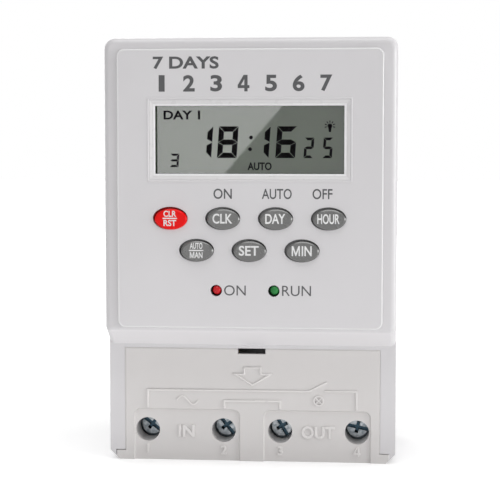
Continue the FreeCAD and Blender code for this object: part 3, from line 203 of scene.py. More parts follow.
def take(obj=None):
    """Deselects everything, then selects and activates one object."""
    bpy.ops.object.select_all(action="DESELECT")
    if obj:
        obj.select_set(True)
        bpy.context.view_layer.objects.active = obj


def named(name):
    """Names the object that was just added."""
    obj = bpy.context.object
    obj.name = name
    obj.data.name = name
    return obj


def settle(obj):
    """Puts an object's place, turn and size into its mesh."""
    take(obj)
    bpy.ops.object.transform_apply(location=True, rotation=True, scale=True)


def open_mesh(obj, mode, action="DESELECT"):
    """Enters edit mode with nothing or, by SELECT, everything selected."""
    take(obj)
    bpy.ops.object.mode_set(mode="EDIT")
    bpy.ops.mesh.select_mode(type=mode)
    bpy.ops.mesh.select_all(action=action)


def close_mesh():
    """Leaves edit mode."""
    bpy.ops.object.mode_set(mode="OBJECT")


def pick_faces(obj, test):
    """Selects the faces whose centre and normal pass a test, in edit mode."""
    mesh = bmesh.from_edit_mesh(obj.data)
    for face in mesh.faces:
        face.select_set(test(face.calc_center_median(), face.normal))
    bmesh.update_edit_mesh(obj.data)


def pick_edges(obj, test):
    """Selects the edges whose two ends pass a test, in edit mode."""
    mesh = bmesh.from_edit_mesh(obj.data)
    for edge in mesh.edges:
        edge.select_set(all(test(vert.co) for vert in edge.verts))
    bmesh.update_edit_mesh(obj.data)


def extrude(y):
    """Extrudes what is selected along y."""
    bpy.ops.mesh.extrude_region_move(TRANSFORM_OT_translate={"value": (0, y, 0)})


def tidy_mesh(obj):
    """Merges doubled vertices and turns all faces outwards."""
    open_mesh(obj, "VERT", "SELECT")
    bpy.ops.mesh.remove_doubles(threshold=1e-7)
    bpy.ops.mesh.normals_make_consistent(inside=False)
    close_mesh()


def smooth(obj, degrees):
    """Smooth shading, with edges sharper than the angle kept."""
    take(obj)
    bpy.ops.object.shade_smooth_by_angle(angle=math.radians(degrees))


def apply_modifier(obj, kind, **settings):
    """Adds a modifier, sets it and applies it."""
    take(obj)
    bpy.ops.object.modifier_add(type=kind)
    modifier = obj.modifiers[-1]
    for key, value in settings.items():
        setattr(modifier, key, value)
    bpy.ops.object.modifier_apply(modifier=modifier.name)


def join(name, objs):
    """Joins several objects into the first one."""
    take(objs[0])
    for obj in objs:
        obj.select_set(True)
    bpy.ops.object.join()
    return named(name)


def finish_piece(obj, body, finish_name, replaced=None):
    """Gives a piece its finish and its body, and hides the solid that it replaces."""
    obj.data.materials.clear()
    obj.data.materials.append(finish(finish_name))
    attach(obj, body)
    if replaced:
        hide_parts(replaced)


def dress(finish_name, nodes):
    """Puts one finish on the named solids."""
    for node in nodes:
        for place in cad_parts[node].material_slots:
            place.material = finish(finish_name)


# ---- Flat shapes and words, drawn in millimetres as seen from the front
# A drawing's layer is its front y and its thickness

def place_drawing(obj, layer, depth_now):
    """Stands a drawing upright in its layer and scales it to metres."""
    front_y, thickness = layer
    obj.rotation_euler = UPRIGHT
    obj.scale = (MM, MM, MM * thickness / depth_now)
    settle(obj)
    front = min(v.co.y for v in obj.data.vertices)
    obj.location = (0, front_y * MM - front, 0)
    settle(obj)
    tidy_mesh(obj)


def flat_shape(name, outlines, layer):
    """Flat plate with the given closed (x, z) outlines; an outline inside another is a hole."""
    curve = bpy.data.curves.new(name, "CURVE")
    curve.dimensions = "2D"
    curve.fill_mode = "BOTH"
    curve.extrude = 0.5
    for outline in outlines:
        spline = curve.splines.new("POLY")
        spline.points.add(len(outline) - 1)
        for point, (x, z) in zip(spline.points, outline):
            point.co = (x, z, 0, 1)
        spline.use_cyclic_u = True
    obj = bpy.data.objects.new(name, curve)
    bpy.context.collection.objects.link(obj)
    take(obj)
    bpy.ops.object.convert(target="MESH")
    obj = named(name)
    place_drawing(obj, layer, 1.0)
    return obj


def words(name, text, centre, height, width, layer, bold=0.0, slope=0.0):
    """Lettering of the given cap height and width around a centre.

    bold and slope widen the strokes and slope their sides, for letters ten units high.
    """
    take()
    bpy.ops.object.text_add()
    letters = bpy.context.object.data
    letters.body = text
    letters.size = 10
    letters.extrude = 0.5
    letters.offset = bold - slope
    letters.bevel_depth = slope
    letters.bevel_resolution = 0
    letters.resolution_u = 5
    bpy.ops.object.convert(target="MESH")
    piece = named(name)
    xs = [v.co.x for v in piece.data.vertices]
    ys = [v.co.y for v in piece.data.vertices]
    tall = height / (max(ys) - min(ys))
    wide = width / (max(xs) - min(xs)) if width else tall
    piece.scale = (wide, tall, 1)
    piece.location = (centre[0] - wide * (min(xs) + max(xs)) / 2,
                      centre[1] - tall * (min(ys) + max(ys)) / 2, 0)
    settle(piece)
    place_drawing(piece, layer, 1.0 + 2 * slope)
    return piece


def figure_four(name, centre, height, width, layer):
    """A bold 4, whose outline in the font closes over itself when it is made bolder."""
    outer = ((0.56, 0), (0.84, 0), (0.84, 0.2), (1, 0.2), (1, 0.38), (0.84, 0.38), (0.84, 1), (0.5, 1),
             (0, 0.38), (0, 0.2), (0.56, 0.2))
    counter = ((0.27, 0.38), (0.56, 0.38), (0.56, 0.74))
    left = centre[0] - width / 2
    bottom = centre[1] - height / 2
    outlines = [[(left + x * width, bottom + z * height) for x, z in points] for points in (outer, counter)]
    return flat_shape(name, outlines, layer)


def word_from_m(name, text, centre, height, width, layer, bold):
    """Word that begins with an M, whose outline in the font folds over itself when it is made bolder."""
    m_share, gap_share = M_SHARES[text]
    left = centre[0] - width / 2
    half = width * m_share / 2
    bar = 0.13 * height
    right_half = [(0.3 * bar, 0), (half - bar, 0.66 * height), (half - bar, 0), (half, 0), (half, height),
                  (half - 1.25 * bar, height)]
    outline = right_half + [(0, 0.3 * height)] + [(-x, z) for x, z in reversed(right_half)]
    placed = [(left + half + x, centre[1] - height / 2 + z) for x, z in outline]
    letter = flat_shape("letter_m", [placed], layer)
    rest_w = width * (1 - m_share - gap_share)
    rest = words("rest", text[1:], (left + width - rest_w / 2, centre[1]), height, rest_w, layer, bold)
    return join(name, [letter, rest])


def ring(name, rectangle, corner, profile, skin=0.03):
    """Frame along a rectangle (x, z, half width, half height), from (distance outwards, y) stations."""
    x, z, half_w, half_h = rectangle
    outer, y = profile[0]
    take()
    bpy.ops.mesh.primitive_plane_add(size=2, location=(x * MM, y * MM, z * MM), rotation=UPRIGHT)
    obj = named(name)
    obj.scale = ((half_w + outer) * MM, (half_h + outer) * MM, 1)
    settle(obj)
    if corner:
        open_mesh(obj, "VERT", "SELECT")
        bpy.ops.mesh.bevel(offset=(corner + outer) * MM, affect="VERTICES", segments=8)
        close_mesh()
    open_mesh(obj, "FACE", "SELECT")
    for (before, y_before), (after, y_after) in zip(profile, profile[1:]):
        bpy.ops.mesh.inset(thickness=(before - after) * MM, depth=0)
        bpy.ops.transform.translate(value=(0, (y_after - y_before) * MM, 0))
    bpy.ops.mesh.delete(type="FACE")
    close_mesh()
    apply_modifier(obj, "SOLIDIFY", thickness=skin * MM, offset=-1.0)
    tidy_mesh(obj)
    return obj


def around(x, z, r, degrees):
    """Point at an angle round a middle."""
    angle = math.radians(degrees)
    return (x + r * math.cos(angle), z + r * math.sin(angle))


def circle(x, z, r, steps=40):
    """Closed round outline."""
    return [around(x, z, r, i * 360 / steps) for i in range(steps)]


def both_sides(before, points, after, width):
    """Both sides of a line of one width with mitred corners, given each point's neighbours."""
    left = []
    right = []
    for previous, here, following in zip(before, map(Vector, points), after):
        into = (here - Vector(previous)).normalized()
        out = (Vector(following) - here).normalized()
        into = into if into.length else out
        out = out if out.length else into
        step = Vector((-into.y, into.x)) + Vector((-out.y, out.x))
        step *= width / step.length_squared
        left.append((here + step)[:])
        right.append((here - step)[:])
    return left, right


def stroke(points, width):
    """Closed outline of an open line of one width."""
    left, right = both_sides(points[:1] + points, points, points[1:] + points[-1:], width)
    return left + right[::-1]


def digit_outlines(digit, left, bottom, width, height, bar, gap):
    """Outlines of the lit segments of one digit."""
    w, h, t, g = width, height, bar, gap / 2
    m = h / 2
    shapes = {
        "a": [(g, h), (w - g, h), (w - t - g, h - t), (t + g, h - t)],
        "b": [(w, h - g), (w, m + g), (w - t, m + t / 2 + g), (w - t, h - t - g)],
        "g": [(g, m), (t, m + t / 2), (w - t, m + t / 2), (w - g, m), (w - t, m - t / 2), (t, m - t / 2)],
    }
    shapes["d"] = [(x, h - z) for x, z in shapes["a"]]
    shapes["c"] = [(x, h - z) for x, z in shapes["b"]]
    shapes["f"] = [(w - x, z) for x, z in shapes["b"]]
    shapes["e"] = [(w - x, h - z) for x, z in shapes["b"]]
    slant = math.tan(math.radians(LEAN))
    return [[(left + x + (z - m) * slant, bottom + z) for x, z in shapes[s]] for s in LIT_SEGMENTS[digit]]


# ---- Finishes

def feed(entry, value):
    """Sets a node's input, or links it to another node's output."""
    if isinstance(value, bpy.types.NodeSocket):
        entry.id_data.links.new(value, entry)
    else:
        entry.default_value = value


def add(tree, kind, **inputs):
    """Adds a node and feeds its inputs, whose names have underscores for spaces."""
    node = tree.nodes.new("ShaderNode" + kind)
    for name, value in inputs.items():
        feed(node.inputs[name.replace("_", " ")], value)
    return node


def own_place(tree):
    """The piece's own coordinates."""
    return add(tree, "TexCoord").outputs["Object"]


def own_axes(tree):
    """The piece's own coordinates, by axis."""
    return add(tree, "SeparateXYZ", Vector=own_place(tree)).outputs


def calculate(tree, operation, *values):
    """Works on one or two values."""
    node = add(tree, "Math")
    node.operation = operation
    for entry, value in zip(node.inputs, values):
        feed(entry, value)
    return node.outputs[0]


def ramp(tree, value, start, end, low=0.0, high=1.0):
    """Maps a value between start and end to the range from low to high."""
    node = add(tree, "MapRange", Value=value, From_Min=start, From_Max=end, To_Min=low, To_Max=high)
    return node.outputs["Result"]


def noise(tree, scale, detail=3.0):
    """Noise over the piece's own coordinates."""
    return add(tree, "TexNoise", Scale=scale, Detail=detail, Vector=own_place(tree)).outputs["Fac"]


def drift(tree, scale, low, high, detail=3.0):
    """Value that drifts between two numbers over the piece."""
    return ramp(tree, noise(tree, scale, detail), 0.3, 0.7, low, high)


def blend_colours(tree, factor, first, second):
    """Mixes two colours by a factor; the first may be another node's output."""
    node = add(tree, "Mix")
    node.data_type = "RGBA"
    feed(node.inputs[0], factor)
    feed(node.inputs[6], first if isinstance(first, bpy.types.NodeSocket) else (*first, 1))
    feed(node.inputs[7], (*second, 1))
    return node.outputs[2]


def cloud(tree, scale, first, second, detail=3.0):
    """Colour that drifts between two tones."""
    return blend_colours(tree, drift(tree, scale, 0.0, 1.0, detail), first, second)


def relief(tree, height, depth, strength):
    """Fine relief, depth in metres."""
    return add(tree, "Bump", Height=height, Distance=depth, Strength=strength).outputs["Normal"]


def mixed(tree, factor, first, second):
    """Mixes two shaders by a factor."""
    node = add(tree, "MixShader", Fac=factor)
    feed(node.inputs[1], first.outputs[0])
    feed(node.inputs[2], second.outputs[0])
    return node.outputs["Shader"]


def seen_rays(tree):
    """1 for rays from the camera, a mirror or a pane, and 0 for light on surfaces."""
    path = add(tree, "LightPath").outputs
    direct = calculate(tree, "MAXIMUM", path["Is Camera Ray"], path["Is Glossy Ray"])
    return calculate(tree, "MAXIMUM", direct, path["Is Transmission Ray"])


def shade_of(colour, share):
    """The same colour, lighter or darker by a share."""
    return tuple(min(c * share, 1.0) for c in colour)


def from_srgb(r, g, b):
    """Linear colour of an 8-bit screen colour."""
    return tuple(((c / 255 + 0.055) / 1.055) ** 2.4 if c > 10 else c / 255 / 12.92 for c in (r, g, b))


def blank(name):
    """Empty node tree of a new material."""
    material = bpy.data.materials.new(LABEL + name)
    material.use_nodes = True
    material.node_tree.nodes.clear()
    return material.node_tree


def shaded(tree, **inputs):
    """Gives a material one shader with the given inputs."""
    shader = add(tree, "BsdfPrincipled", **inputs)
    add(tree, "OutputMaterial", Surface=shader.outputs["BSDF"])
    return shader


def recolour(shader, factor, colour):
    """Turns a shader's colour to another where a factor is 1."""
    ground = shader.inputs["Base Color"]
    feed(ground, blend_colours(shader.id_data, factor, ground.links[0].from_socket, colour))


def moulded(name, colour, roughness, grain=2600.0, depth=0.00002, strength=0.25, shift=0.025, specular=0.5):
    """Moulded plastic or rubber: faint cloudy tone, uneven gloss and a fine grain."""
    tree = blank(name)
    return shaded(tree, Specular_IOR_Level=specular,
                  Base_Color=cloud(tree, 45.0, shade_of(colour, 1 - shift), shade_of(colour, 1 + shift)),
                  Roughness=drift(tree, 320.0, roughness - 0.04, roughness + 0.04),
                  Normal=relief(tree, noise(tree, grain, 2.0), depth, strength))


def front_plastic(name, colour, roughness, slope_colour, **settings):
    """Moulded plastic with painted light: lighter on the slope between the panel and the cover, in place of
    light from below.
    """
    shader = moulded(name, colour, roughness, **settings)
    tree = shader.id_data
    axes = own_axes(tree)
    lower, upper = (z * MM for z in SLOPE_Z)
    half = SLOPE_HALF_W * MM
    # Painted light: a mask of the slope, where the colour turns lighter in place of light from below.
    slope_light_mask = ramp(tree, axes["Z"], lower - 0.1 * MM, lower + 0.3 * MM)
    slope_light_mask = ramp(tree, axes["Z"], upper + 0.1 * MM, upper - 0.3 * MM, high=slope_light_mask)
    slope_light_mask = ramp(tree, calculate(tree, "ABSOLUTE", axes["X"]), half + 1.4 * MM, half, high=slope_light_mask)
    recolour(shader, slope_light_mask, slope_colour)


def plated(name, colour, roughness, tint=None):
    """Plated or rolled metal: streaky gloss and slight clouding."""
    tree = blank(name)
    return shaded(tree, Metallic=1.0,
                  Base_Color=cloud(tree, 900.0, colour, tint or shade_of(colour, 0.85), 4.0),
                  Roughness=drift(tree, 2500.0, roughness - 0.08, roughness + 0.08),
                  Normal=relief(tree, noise(tree, 3500.0), 0.00002, 0.2))


def screw_plating(name, colour, roughness, tint, recess_shade_colour):
    """Plating with painted shade: darker in the recess below the screw's flat top."""
    shader = plated(name, colour, roughness, tint)
    tree = shader.id_data
    # Painted shade: the colour darkens with depth into the recess, in place of the shade that falls there.
    depth = ramp(tree, own_axes(tree)["Y"], (SCREW_TOP_Y + 0.08) * MM, (SCREW_TOP_Y + 0.45) * MM)
    recolour(shader, depth, recess_shade_colour)


def printed(name, colour):
    """Screen-printed ink, slightly mottled."""
    moulded(name, colour, 0.5, grain=6000.0, depth=0.000005, strength=0.15, shift=0.05)


def lamp_plastic(name, colour):
    """Dyed epoxy: deep colour under a hard gloss."""
    tree = blank(name)
    shaded(tree, Specular_IOR_Level=0.25, Base_Color=cloud(tree, 600.0, colour, shade_of(colour, 0.86)),
           Roughness=drift(tree, 1500.0, 0.2, 0.3))


def clear_pane(name):
    """Clear pane with an anti-glare coat, which mirrors only where it is seen at a slant."""
    tree = blank(name)
    slant = ramp(tree, add(tree, "LayerWeight", Blend=0.5).outputs["Facing"], 0.4, 1.0, 0.0, 0.6)
    mirror = add(tree, "BsdfGlossy", Roughness=0.01)
    add(tree, "OutputMaterial", Surface=mixed(tree, slant, add(tree, "BsdfTransparent"), mirror))


def reflector(name, colour):
    """Silvery grey film at the back of the display, which mirrors as well as scatters."""
    tree = blank(name)
    shaded(tree, IOR=2.0, Base_Color=cloud(tree, 60.0, colour, shade_of(colour, 1.05)),
           Roughness=drift(tree, 900.0, 0.01, 0.03))


def lit_segment(name):
    """Darkened liquid crystal, nearly black and hardly shiny."""
    tree = blank(name)
    shaded(tree, IOR=1.05, Base_Color=cloud(tree, 400.0, (0.005, 0.005, 0.005), (0.008, 0.008, 0.008)),
           Roughness=drift(tree, 900.0, 0.45, 0.55))


def circuit_board(name, colour, track_colour):
    """Lacquered board with the paths of its tracks showing through."""
    tree = blank(name)
    paths = add(tree, "TexVoronoi", Scale=160.0, Vector=own_place(tree))
    paths.distance = "MANHATTAN"
    rows = calculate(tree, "FRACT", calculate(tree, "MULTIPLY", paths.outputs["Distance"], 3.0))
    track = calculate(tree, "GREATER_THAN", rows, 0.55)
    shaded(tree, Base_Color=blend_colours(tree, track, colour, track_colour),
           Roughness=drift(tree, 700.0, 0.28, 0.4))


def studio_floor(name):
    """Pale matt floor that reads as white but keeps the object's shadow."""
    tree = blank(name)
    away = add(tree, "VectorMath", Vector=own_place(tree))
    away.operation = "LENGTH"
    (near, faint), (far, strong) = FLOOR_GLOW
    glow = ramp(tree, away.outputs["Value"], near, far, faint, strong)
    lift = add(tree, "Emission", Strength=calculate(tree, "MULTIPLY", seen_rays(tree), glow))
    both = add(tree, "AddShader")
    feed(both.inputs[0], add(tree, "BsdfDiffuse", Color=(0.86, 0.86, 0.86, 1)).outputs["BSDF"])
    feed(both.inputs[1], lift.outputs["Emission"])
    add(tree, "OutputMaterial", Surface=both.outputs["Shader"])


SATIN = {"depth": 0.00001, "strength": 0.15, "shift": 0.012}
KEY_GRAIN = {"grain": 3600.0, "depth": 0.000012}
# Each finish: the function that makes it, what follows the name there, and its further settings.
# A colour given by name is one of TimerLooks.
FINISHES = {
    "housing": (moulded, ("housing_colour", 0.32), SATIN),
    # The front housing with its slope painted lighter, as painted light.
    "housing with slope": (front_plastic, ("housing_colour", 0.32, "slope_colour"), SATIN),
    "cover": (moulded, ("cover_colour", 0.32), SATIN),
    # The cover's raised marks, painted lighter than the cover as a highlight.
    "raised marks": (moulded, ("mark_colour", 0.3), {"strength": 0.05, "shift": 0.01}),
    # The panel's edge ring, painted lighter than the housing as a highlight.
    "polished edge": (moulded, ("edge_colour", 0.2), {"strength": 0.03, "shift": 0.01}),
    # The window frame, painted lighter than the housing plastic it is part of, as painted light.
    "window frame": (moulded, ("bezel_colour", 0.3), {"strength": 0.05, "shift": 0.003}),
    # The window's inner lip, painted near white as a highlight.
    "window lip": (moulded, ("lip_colour", 0.3), {"strength": 0.05, "shift": 0.003}),
    "grey key": (moulded, ("key_colour", 0.26), {"specular": 1.0, **KEY_GRAIN}),
    "red key": (moulded, ("reset_colour", 0.3), {"specular": 0.15, **KEY_GRAIN}),
    "dark ink": (printed, ("ink_colour",), {}),
    "white ink": (printed, ((0.74, 0.74, 0.74),), {}),
    "grey ink": (printed, ("fine_ink_colour",), {}),
    "display ground": (reflector, ("display_colour",), {}),
    "display black": (lit_segment, (), {}),
    "clear pane": (clear_pane, (), {}),
    "zinc": (plated, ((0.42, 0.47, 0.52), 0.34, (0.22, 0.27, 0.33)), {}),
    # Screw plating with painted shade in its recess.
    "screw zinc": (screw_plating, ((0.46, 0.48, 0.50), 0.34, (0.14, 0.17, 0.19), (0.035, 0.060, 0.080)), {}),
    "spring steel": (plated, ((0.55, 0.55, 0.56), 0.3), {}),
    "brass": (plated, ((0.78, 0.60, 0.30), 0.34, (0.62, 0.44, 0.2)), {}),
    "black plastic": (moulded, ((0.018, 0.018, 0.02), 0.42), {}),
    "grey plastic": (moulded, ((0.25, 0.25, 0.26), 0.45), {}),
    "white plastic": (moulded, ((0.72, 0.72, 0.70), 0.4), {}),
    "blue plastic": (moulded, ((0.02, 0.09, 0.36), 0.3), {}),
    "yellow plastic": (moulded, ((0.78, 0.52, 0.03), 0.35), {}),
    "green plastic": (moulded, ((0.03, 0.26, 0.07), 0.35), {}),
    "grey rubber": (moulded, ((0.30, 0.31, 0.32), 0.65), {"grain": 1800.0}),
    "board": (circuit_board, ((0.012, 0.10, 0.035), (0.02, 0.17, 0.06)), {}),
    "red lamp": (lamp_plastic, ((0.57, 0.010, 0.016),), {}),
    "green lamp": (lamp_plastic, ((0.019, 0.21, 0.045),), {}),
    "studio floor": (studio_floor, (), {}),
}


def finish(name):
    """One of the object's finishes, made the first time it is asked for."""
    if LABEL + name not in bpy.data.materials:
        maker, values, settings = FINISHES[name]
        looks = bpy.context.scene.timer_looks
        maker(name, *(tuple(getattr(looks, v)) if isinstance(v, str) else v for v in values), **settings)
    return bpy.data.materials[LABEL + name]


# ---- Settings

def colour_setting(name, description, *screen_colour):
    """Colour that a user would change, its default given in 8-bit screen values."""
    return bpy.props.FloatVectorProperty(
        name=name, description=description, subtype="COLOR", size=3, min=0, max=1,
        default=from_srgb(*screen_colour))


class TimerLooks(bpy.types.PropertyGroup):
    """Colours that a user would change."""
    housing_colour: colour_setting("Housing", "Plastic of both housing shells", 208, 206, 208)
    # Slope colour: painted light, lighter than the housing in place of light from below.
    slope_colour: colour_setting("Slope", "Polished slope between the panel and the cover", 221, 219, 221)
    # Panel edge colour: a painted highlight, lighter than the housing.
    edge_colour: colour_setting("Panel edge", "Polished edge round the raised panel", 219, 218, 219)
    cover_colour: colour_setting("Cover", "Plastic of the terminal cover", 208, 205, 204)
    # Cover mark colour: a painted highlight, lighter than the cover.
    mark_colour: colour_setting("Cover marks", "Polished raised signs on the cover", 218, 215, 214)
    # Window frame colour: painted light, lighter than the housing plastic it is moulded in.
    bezel_colour: colour_setting("Window frame", "Plastic of the mitred window frame", 216, 214, 215)
    # Window lip colour: a painted highlight along the window's inner edge.
    lip_colour: colour_setting("Window lip", "Bright inner lip of the window frame", 230, 229, 230)
    key_colour: colour_setting("Keys", "Plastic of the six plain keys", 75, 75, 74)
    reset_colour: colour_setting("Red key", "Plastic of the reset key", 228, 5, 5)
    ink_colour: colour_setting("Ink", "Dark printing on the panel", 74, 74, 76)
    fine_ink_colour: colour_setting("Fine ink", "Thin grey printing beside the lamps", 82, 82, 84)
    display_colour: colour_setting("Display", "Ground of the display behind its pane", 56, 70, 50)


class TimerSizes(bpy.types.PropertyGroup):
    """Sizes that a user would change."""
    relief: bpy.props.FloatProperty(
        name="Relief", description="Height of the raised marks on the cover", unit="LENGTH",
        min=0, max=0.001, default=0.0004, precision=5)
    print_thickness: bpy.props.FloatProperty(
        name="Print", description="Thickness of the printing", unit="LENGTH",
        min=0, max=0.0001, default=0.00002, precision=6)
    key_round: bpy.props.FloatProperty(
        name="Key edge", description="Width of the keys' sloping front edges", unit="LENGTH",
        min=0, max=0.001, default=0.0006, precision=5)


# ---- Operators, one for each piece or group of like pieces

class TIMER_OT_stage(bpy.types.Operator):
    """Add the camera, the floor, the soft lights and the white surroundings"""
    bl_idname = "timer.stage"
    bl_label = "Stage"

    def execute(self, context):
        scene = context.scene
        take()
        bpy.ops.object.camera_add(location=CAMERA_PLACE, rotation=CAMERA_TURN)
        camera = named("view_camera")
        camera.data.lens = CAMERA_LENS
        camera.data.sensor_width = 36.0
        camera.data.clip_start = 0.01
        scene.camera = camera
        scene.view_settings.view_transform = "Standard"

        take()
        bpy.ops.mesh.primitive_plane_add(size=6.0, location=(0, 0, CAD_BOUNDS[0][2]))
        floor = named("floor")
        settle(floor)
        floor.data.materials.append(finish("studio floor"))

        for softbox in SOFTBOXES:
            self.softbox(*softbox)
        floor_card = self.softbox(*FLOOR_CARD)
        floor_card.rotation_euler = (math.pi, 0, 0)
        floor_card.visible_camera = False
        window_card = self.softbox(*WINDOW_CARD)
        window_card.rotation_euler = WINDOW_CARD_TURN
        self.surroundings(scene)
        return {"FINISHED"}

    def softbox(self, name, place, width, height, power):
        """Rectangular lamp aimed at the middle of the object."""
        take()
        bpy.ops.object.light_add(type="AREA", location=place)
        lamp = named(name)
        lamp.data.shape = "RECTANGLE"
        lamp.data.size = width
        lamp.data.size_y = height
        lamp.data.energy = power
        lamp.rotation_euler = (Vector((0, -0.03, 0)) - Vector(place)).to_track_quat("-Z", "Y").to_euler()
        return lamp

    def surroundings(self, scene):
        """White world, dimmer where it lights surfaces."""
        world = bpy.data.worlds.new("studio")
        world.use_nodes = True
        tree = world.node_tree
        tree.nodes.clear()
        light = add(tree, "Background", Color=(1, 1, 1, 1), Strength=WORLD_LIGHT)
        seen = add(tree, "Background", Color=(1, 1, 1, 1), Strength=1.0)
        add(tree, "OutputWorld", Surface=mixed(tree, seen_rays(tree), light, seen))
        scene.world = world


class TIMER_OT_shells(bpy.types.Operator):
    """Finish the housing shells and the cover, and add the mitred frame round the window"""
    bl_idname = "timer.shells"
    bl_label = "Shells and window frame"

    def execute(self, context):
        dress("housing with slope", ["front_case"])
        dress("housing", ["rear_case"])
        dress("cover", ["terminal_cover"])
        dress("white plastic", ["rail_clip"])
        step = ((2.22, -51.99), (2.14, -52.10), (2.02, -52.13), (1.84, -52.13), (1.76, -52.06),
                (1.72, -51.97), (1.56, -51.94))
        # The window frame is painted lighter than the housing, as painted light.
        slant = ((1.58, -51.93), (1.54, -51.99), (1.46, -52.01), (1.30, -51.97), (1.00, -51.86),
                 (0.52, -51.68))
        # The lip is painted near white, as a painted highlight along the window's inner edge.
        lip = ((0.56, -51.64), (0.54, -51.74), (0.46, -51.78), (0.08, -51.78), (-0.03, -51.70),
               (-0.03, PANE_FRONT_Y - 0.01))
        rings = (("window_step", "housing", step), ("window_frame", "window frame", slant),
                 ("window_lip", "window lip", lip))
        for name, finish_name, profile in rings:
            finish_piece(ring(name, WINDOW, 0, profile), "housing", finish_name)
        edge = ((0.03, -51.40), (0.03, -51.62), (0.00, -51.78), (-0.07, -51.90), (-0.17, -51.99),
                (-0.30, -52.03), (-0.45, -52.03), (-0.52, -51.99))
        # Ring round the raised panel, painted lighter than the housing as a highlight.
        rim = ring("panel_edge", PLATEAU, PLATEAU_R, edge)
        smooth(rim, 50)
        finish_piece(rim, "housing", "polished edge")
        return {"FINISHED"}


class TIMER_OT_keys(bpy.types.Operator):
    """Replace the seven keys by caps with soft edges and print their legends"""
    bl_idname = "timer.keys"
    bl_label = "Keys"

    def execute(self, context):
        for node, lines in KEY_LEGENDS.items():
            low, high = (Vector(corner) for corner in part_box(node))
            cap = self.cap(context, node, low, high)
            if node == "key_reset":
                finish_piece(cap, node, "red key", node)
            else:
                finish_piece(cap, node, "grey key", node)
            self.legend(context, node, lines, low, high)
        return {"FINISHED"}

    def cap(self, context, node, low, high):
        """Oval cap with a sloping front edge and a flange behind the panel."""
        edge = context.scene.timer_sizes.key_round
        centre = (low + high) / 2 + KEY_SHIFT * MM
        flange = KEY_FLANGE * MM
        half_w = (high.x - low.x) / 2 - KEY_NARROWER * MM
        half_h = (high.z - low.z) / 2 - KEY_LOWER * MM
        take()
        bpy.ops.mesh.primitive_circle_add(
            vertices=96, radius=1, fill_type="NGON", rotation=UPRIGHT, location=(centre.x, high.y, centre.z))
        cap = named("cap_" + node)
        cap.scale = (half_w - flange, half_h - flange, 1)
        settle(cap)
        open_mesh(cap, "FACE", "SELECT")
        flange_back = (PANEL_Y + PANEL_WALL + KEY_FLANGE_GAP) * MM + flange
        extrude(flange_back - high.y)
        extrude(0)
        bpy.ops.transform.resize(value=(half_w / (half_w - flange), 1, half_h / (half_h - flange)))
        extrude(-flange)
        bpy.ops.mesh.inset(thickness=flange, depth=0)
        steps = [around(0, 0, edge * share, angle) for angle, share in KEY_EDGE]
        front = low.y + sum(up for across, up in steps)
        extrude(front - (flange_back - flange))
        for across, up in steps:
            bpy.ops.mesh.inset(thickness=across, depth=0)
            bpy.ops.transform.translate(value=(0, -up, 0))
        close_mesh()
        tidy_mesh(cap)
        smooth(cap, 40)
        return cap

    def legend(self, context, node, lines, low, high):
        """White legend on a key, one line, or two with a bar between."""
        thickness = context.scene.timer_sizes.print_thickness / MM
        x = (low.x + high.x) / 2 / MM
        z = (low.z + high.z) / 2 / MM
        layer = (low.y / MM - thickness, thickness)
        last = lines[-1]
        letters = word_from_m if last in M_SHARES else words
        if len(lines) == 1:
            wide = 6.2 if len(last) == 4 else 5.6
            piece = letters("legend_" + node, last, (x, z), 2.8, wide, layer, 0.2)
        else:
            parts = [words("upper", lines[0], (x, z + 1.3), 1.75, 3.6, layer, 0.24),
                     letters("lower", last, (x, z - 1.3), 1.75, 3.6, layer, 0.24),
                     flat_shape("bar", [stroke([(x - 2.05, z), (x + 2.05, z)], 0.34)], layer)]
            piece = join("legend_" + node, parts)
        finish_piece(piece, node, "white ink")


class TIMER_OT_display(bpy.types.Operator):
    """Finish the pane and the display, and add the digits and marks that are lit"""
    bl_idname = "timer.display"
    bl_label = "Display"

    def execute(self, context):
        dress("clear pane", ["lcd_window"])
        dress("display ground", ["lcd_glass"])
        layer = (GLASS_FRONT_Y - LIT, LIT)
        outlines = []
        for row, size in DIGITS:
            for digit, left in row:
                outlines += digit_outlines(digit, left, *size)
        for x, z in COLON:
            outlines.append(circle(x, z, COLON_R))
        pieces = (
            flat_shape("display_digits", outlines, layer),
            words("display_mode_word", "AUTO", (2.75, 24.6), 2.2, 6.8, layer, 0.28),
            words("display_day_word", "DAY 1", (-19.3, 39.0), 2.5, 10.4, layer, 0.26),
            self.lamp_mark(22.5, 35.9, layer),
        )
        for piece in pieces:
            finish_piece(piece, "housing", "display black")
        return {"FINISHED"}

    def lamp_mark(self, x, z, layer):
        """Small bulb with rays."""
        bulb = [(x - 0.3, z - 1.7), (x + 0.3, z - 1.7), (x + 0.45, z - 0.55)]
        bulb += [around(x, z, 0.68, -50 + i * 280 / 12) for i in range(13)]
        bulb.append((x - 0.45, z - 0.55))
        rays = [stroke([around(x, z, r, -15 + i * 35) for r in (0.92, 1.5)], 0.26) for i in range(7)]
        return flat_shape("display_lamp_mark", [bulb] + rays, layer)


class TIMER_OT_printing(bpy.types.Operator):
    """Print the panel"""
    bl_idname = "timer.printing"
    bl_label = "Panel printing"

    def execute(self, context):
        thickness = context.scene.timer_sizes.print_thickness / MM
        layer = (PANEL_Y - thickness, thickness)
        for name, text, centre, height, width, bold, ink in PRINTS:
            piece = words(name, text, centre, height, width, layer, bold)
            finish_piece(piece, "housing", ink)
        numbers = []
        left, right = DAY_ROW_X
        for day in range(1, DAYS + 1):
            name = "number_%d" % day
            centre = (left + (day - 0.5) * (right - left) / DAYS, DAY_ROW_Z)
            if day == 4:
                numbers.append(figure_four(name, centre, DAY_NUMBER_H, 3.3, layer))
            else:
                wide = 1.7 if day == 1 else 3.3
                numbers.append(words(name, str(day), centre, DAY_NUMBER_H, wide, layer, 0.3))
        finish_piece(join("print_day_numbers", numbers), "housing", "dark ink")
        return {"FINISHED"}


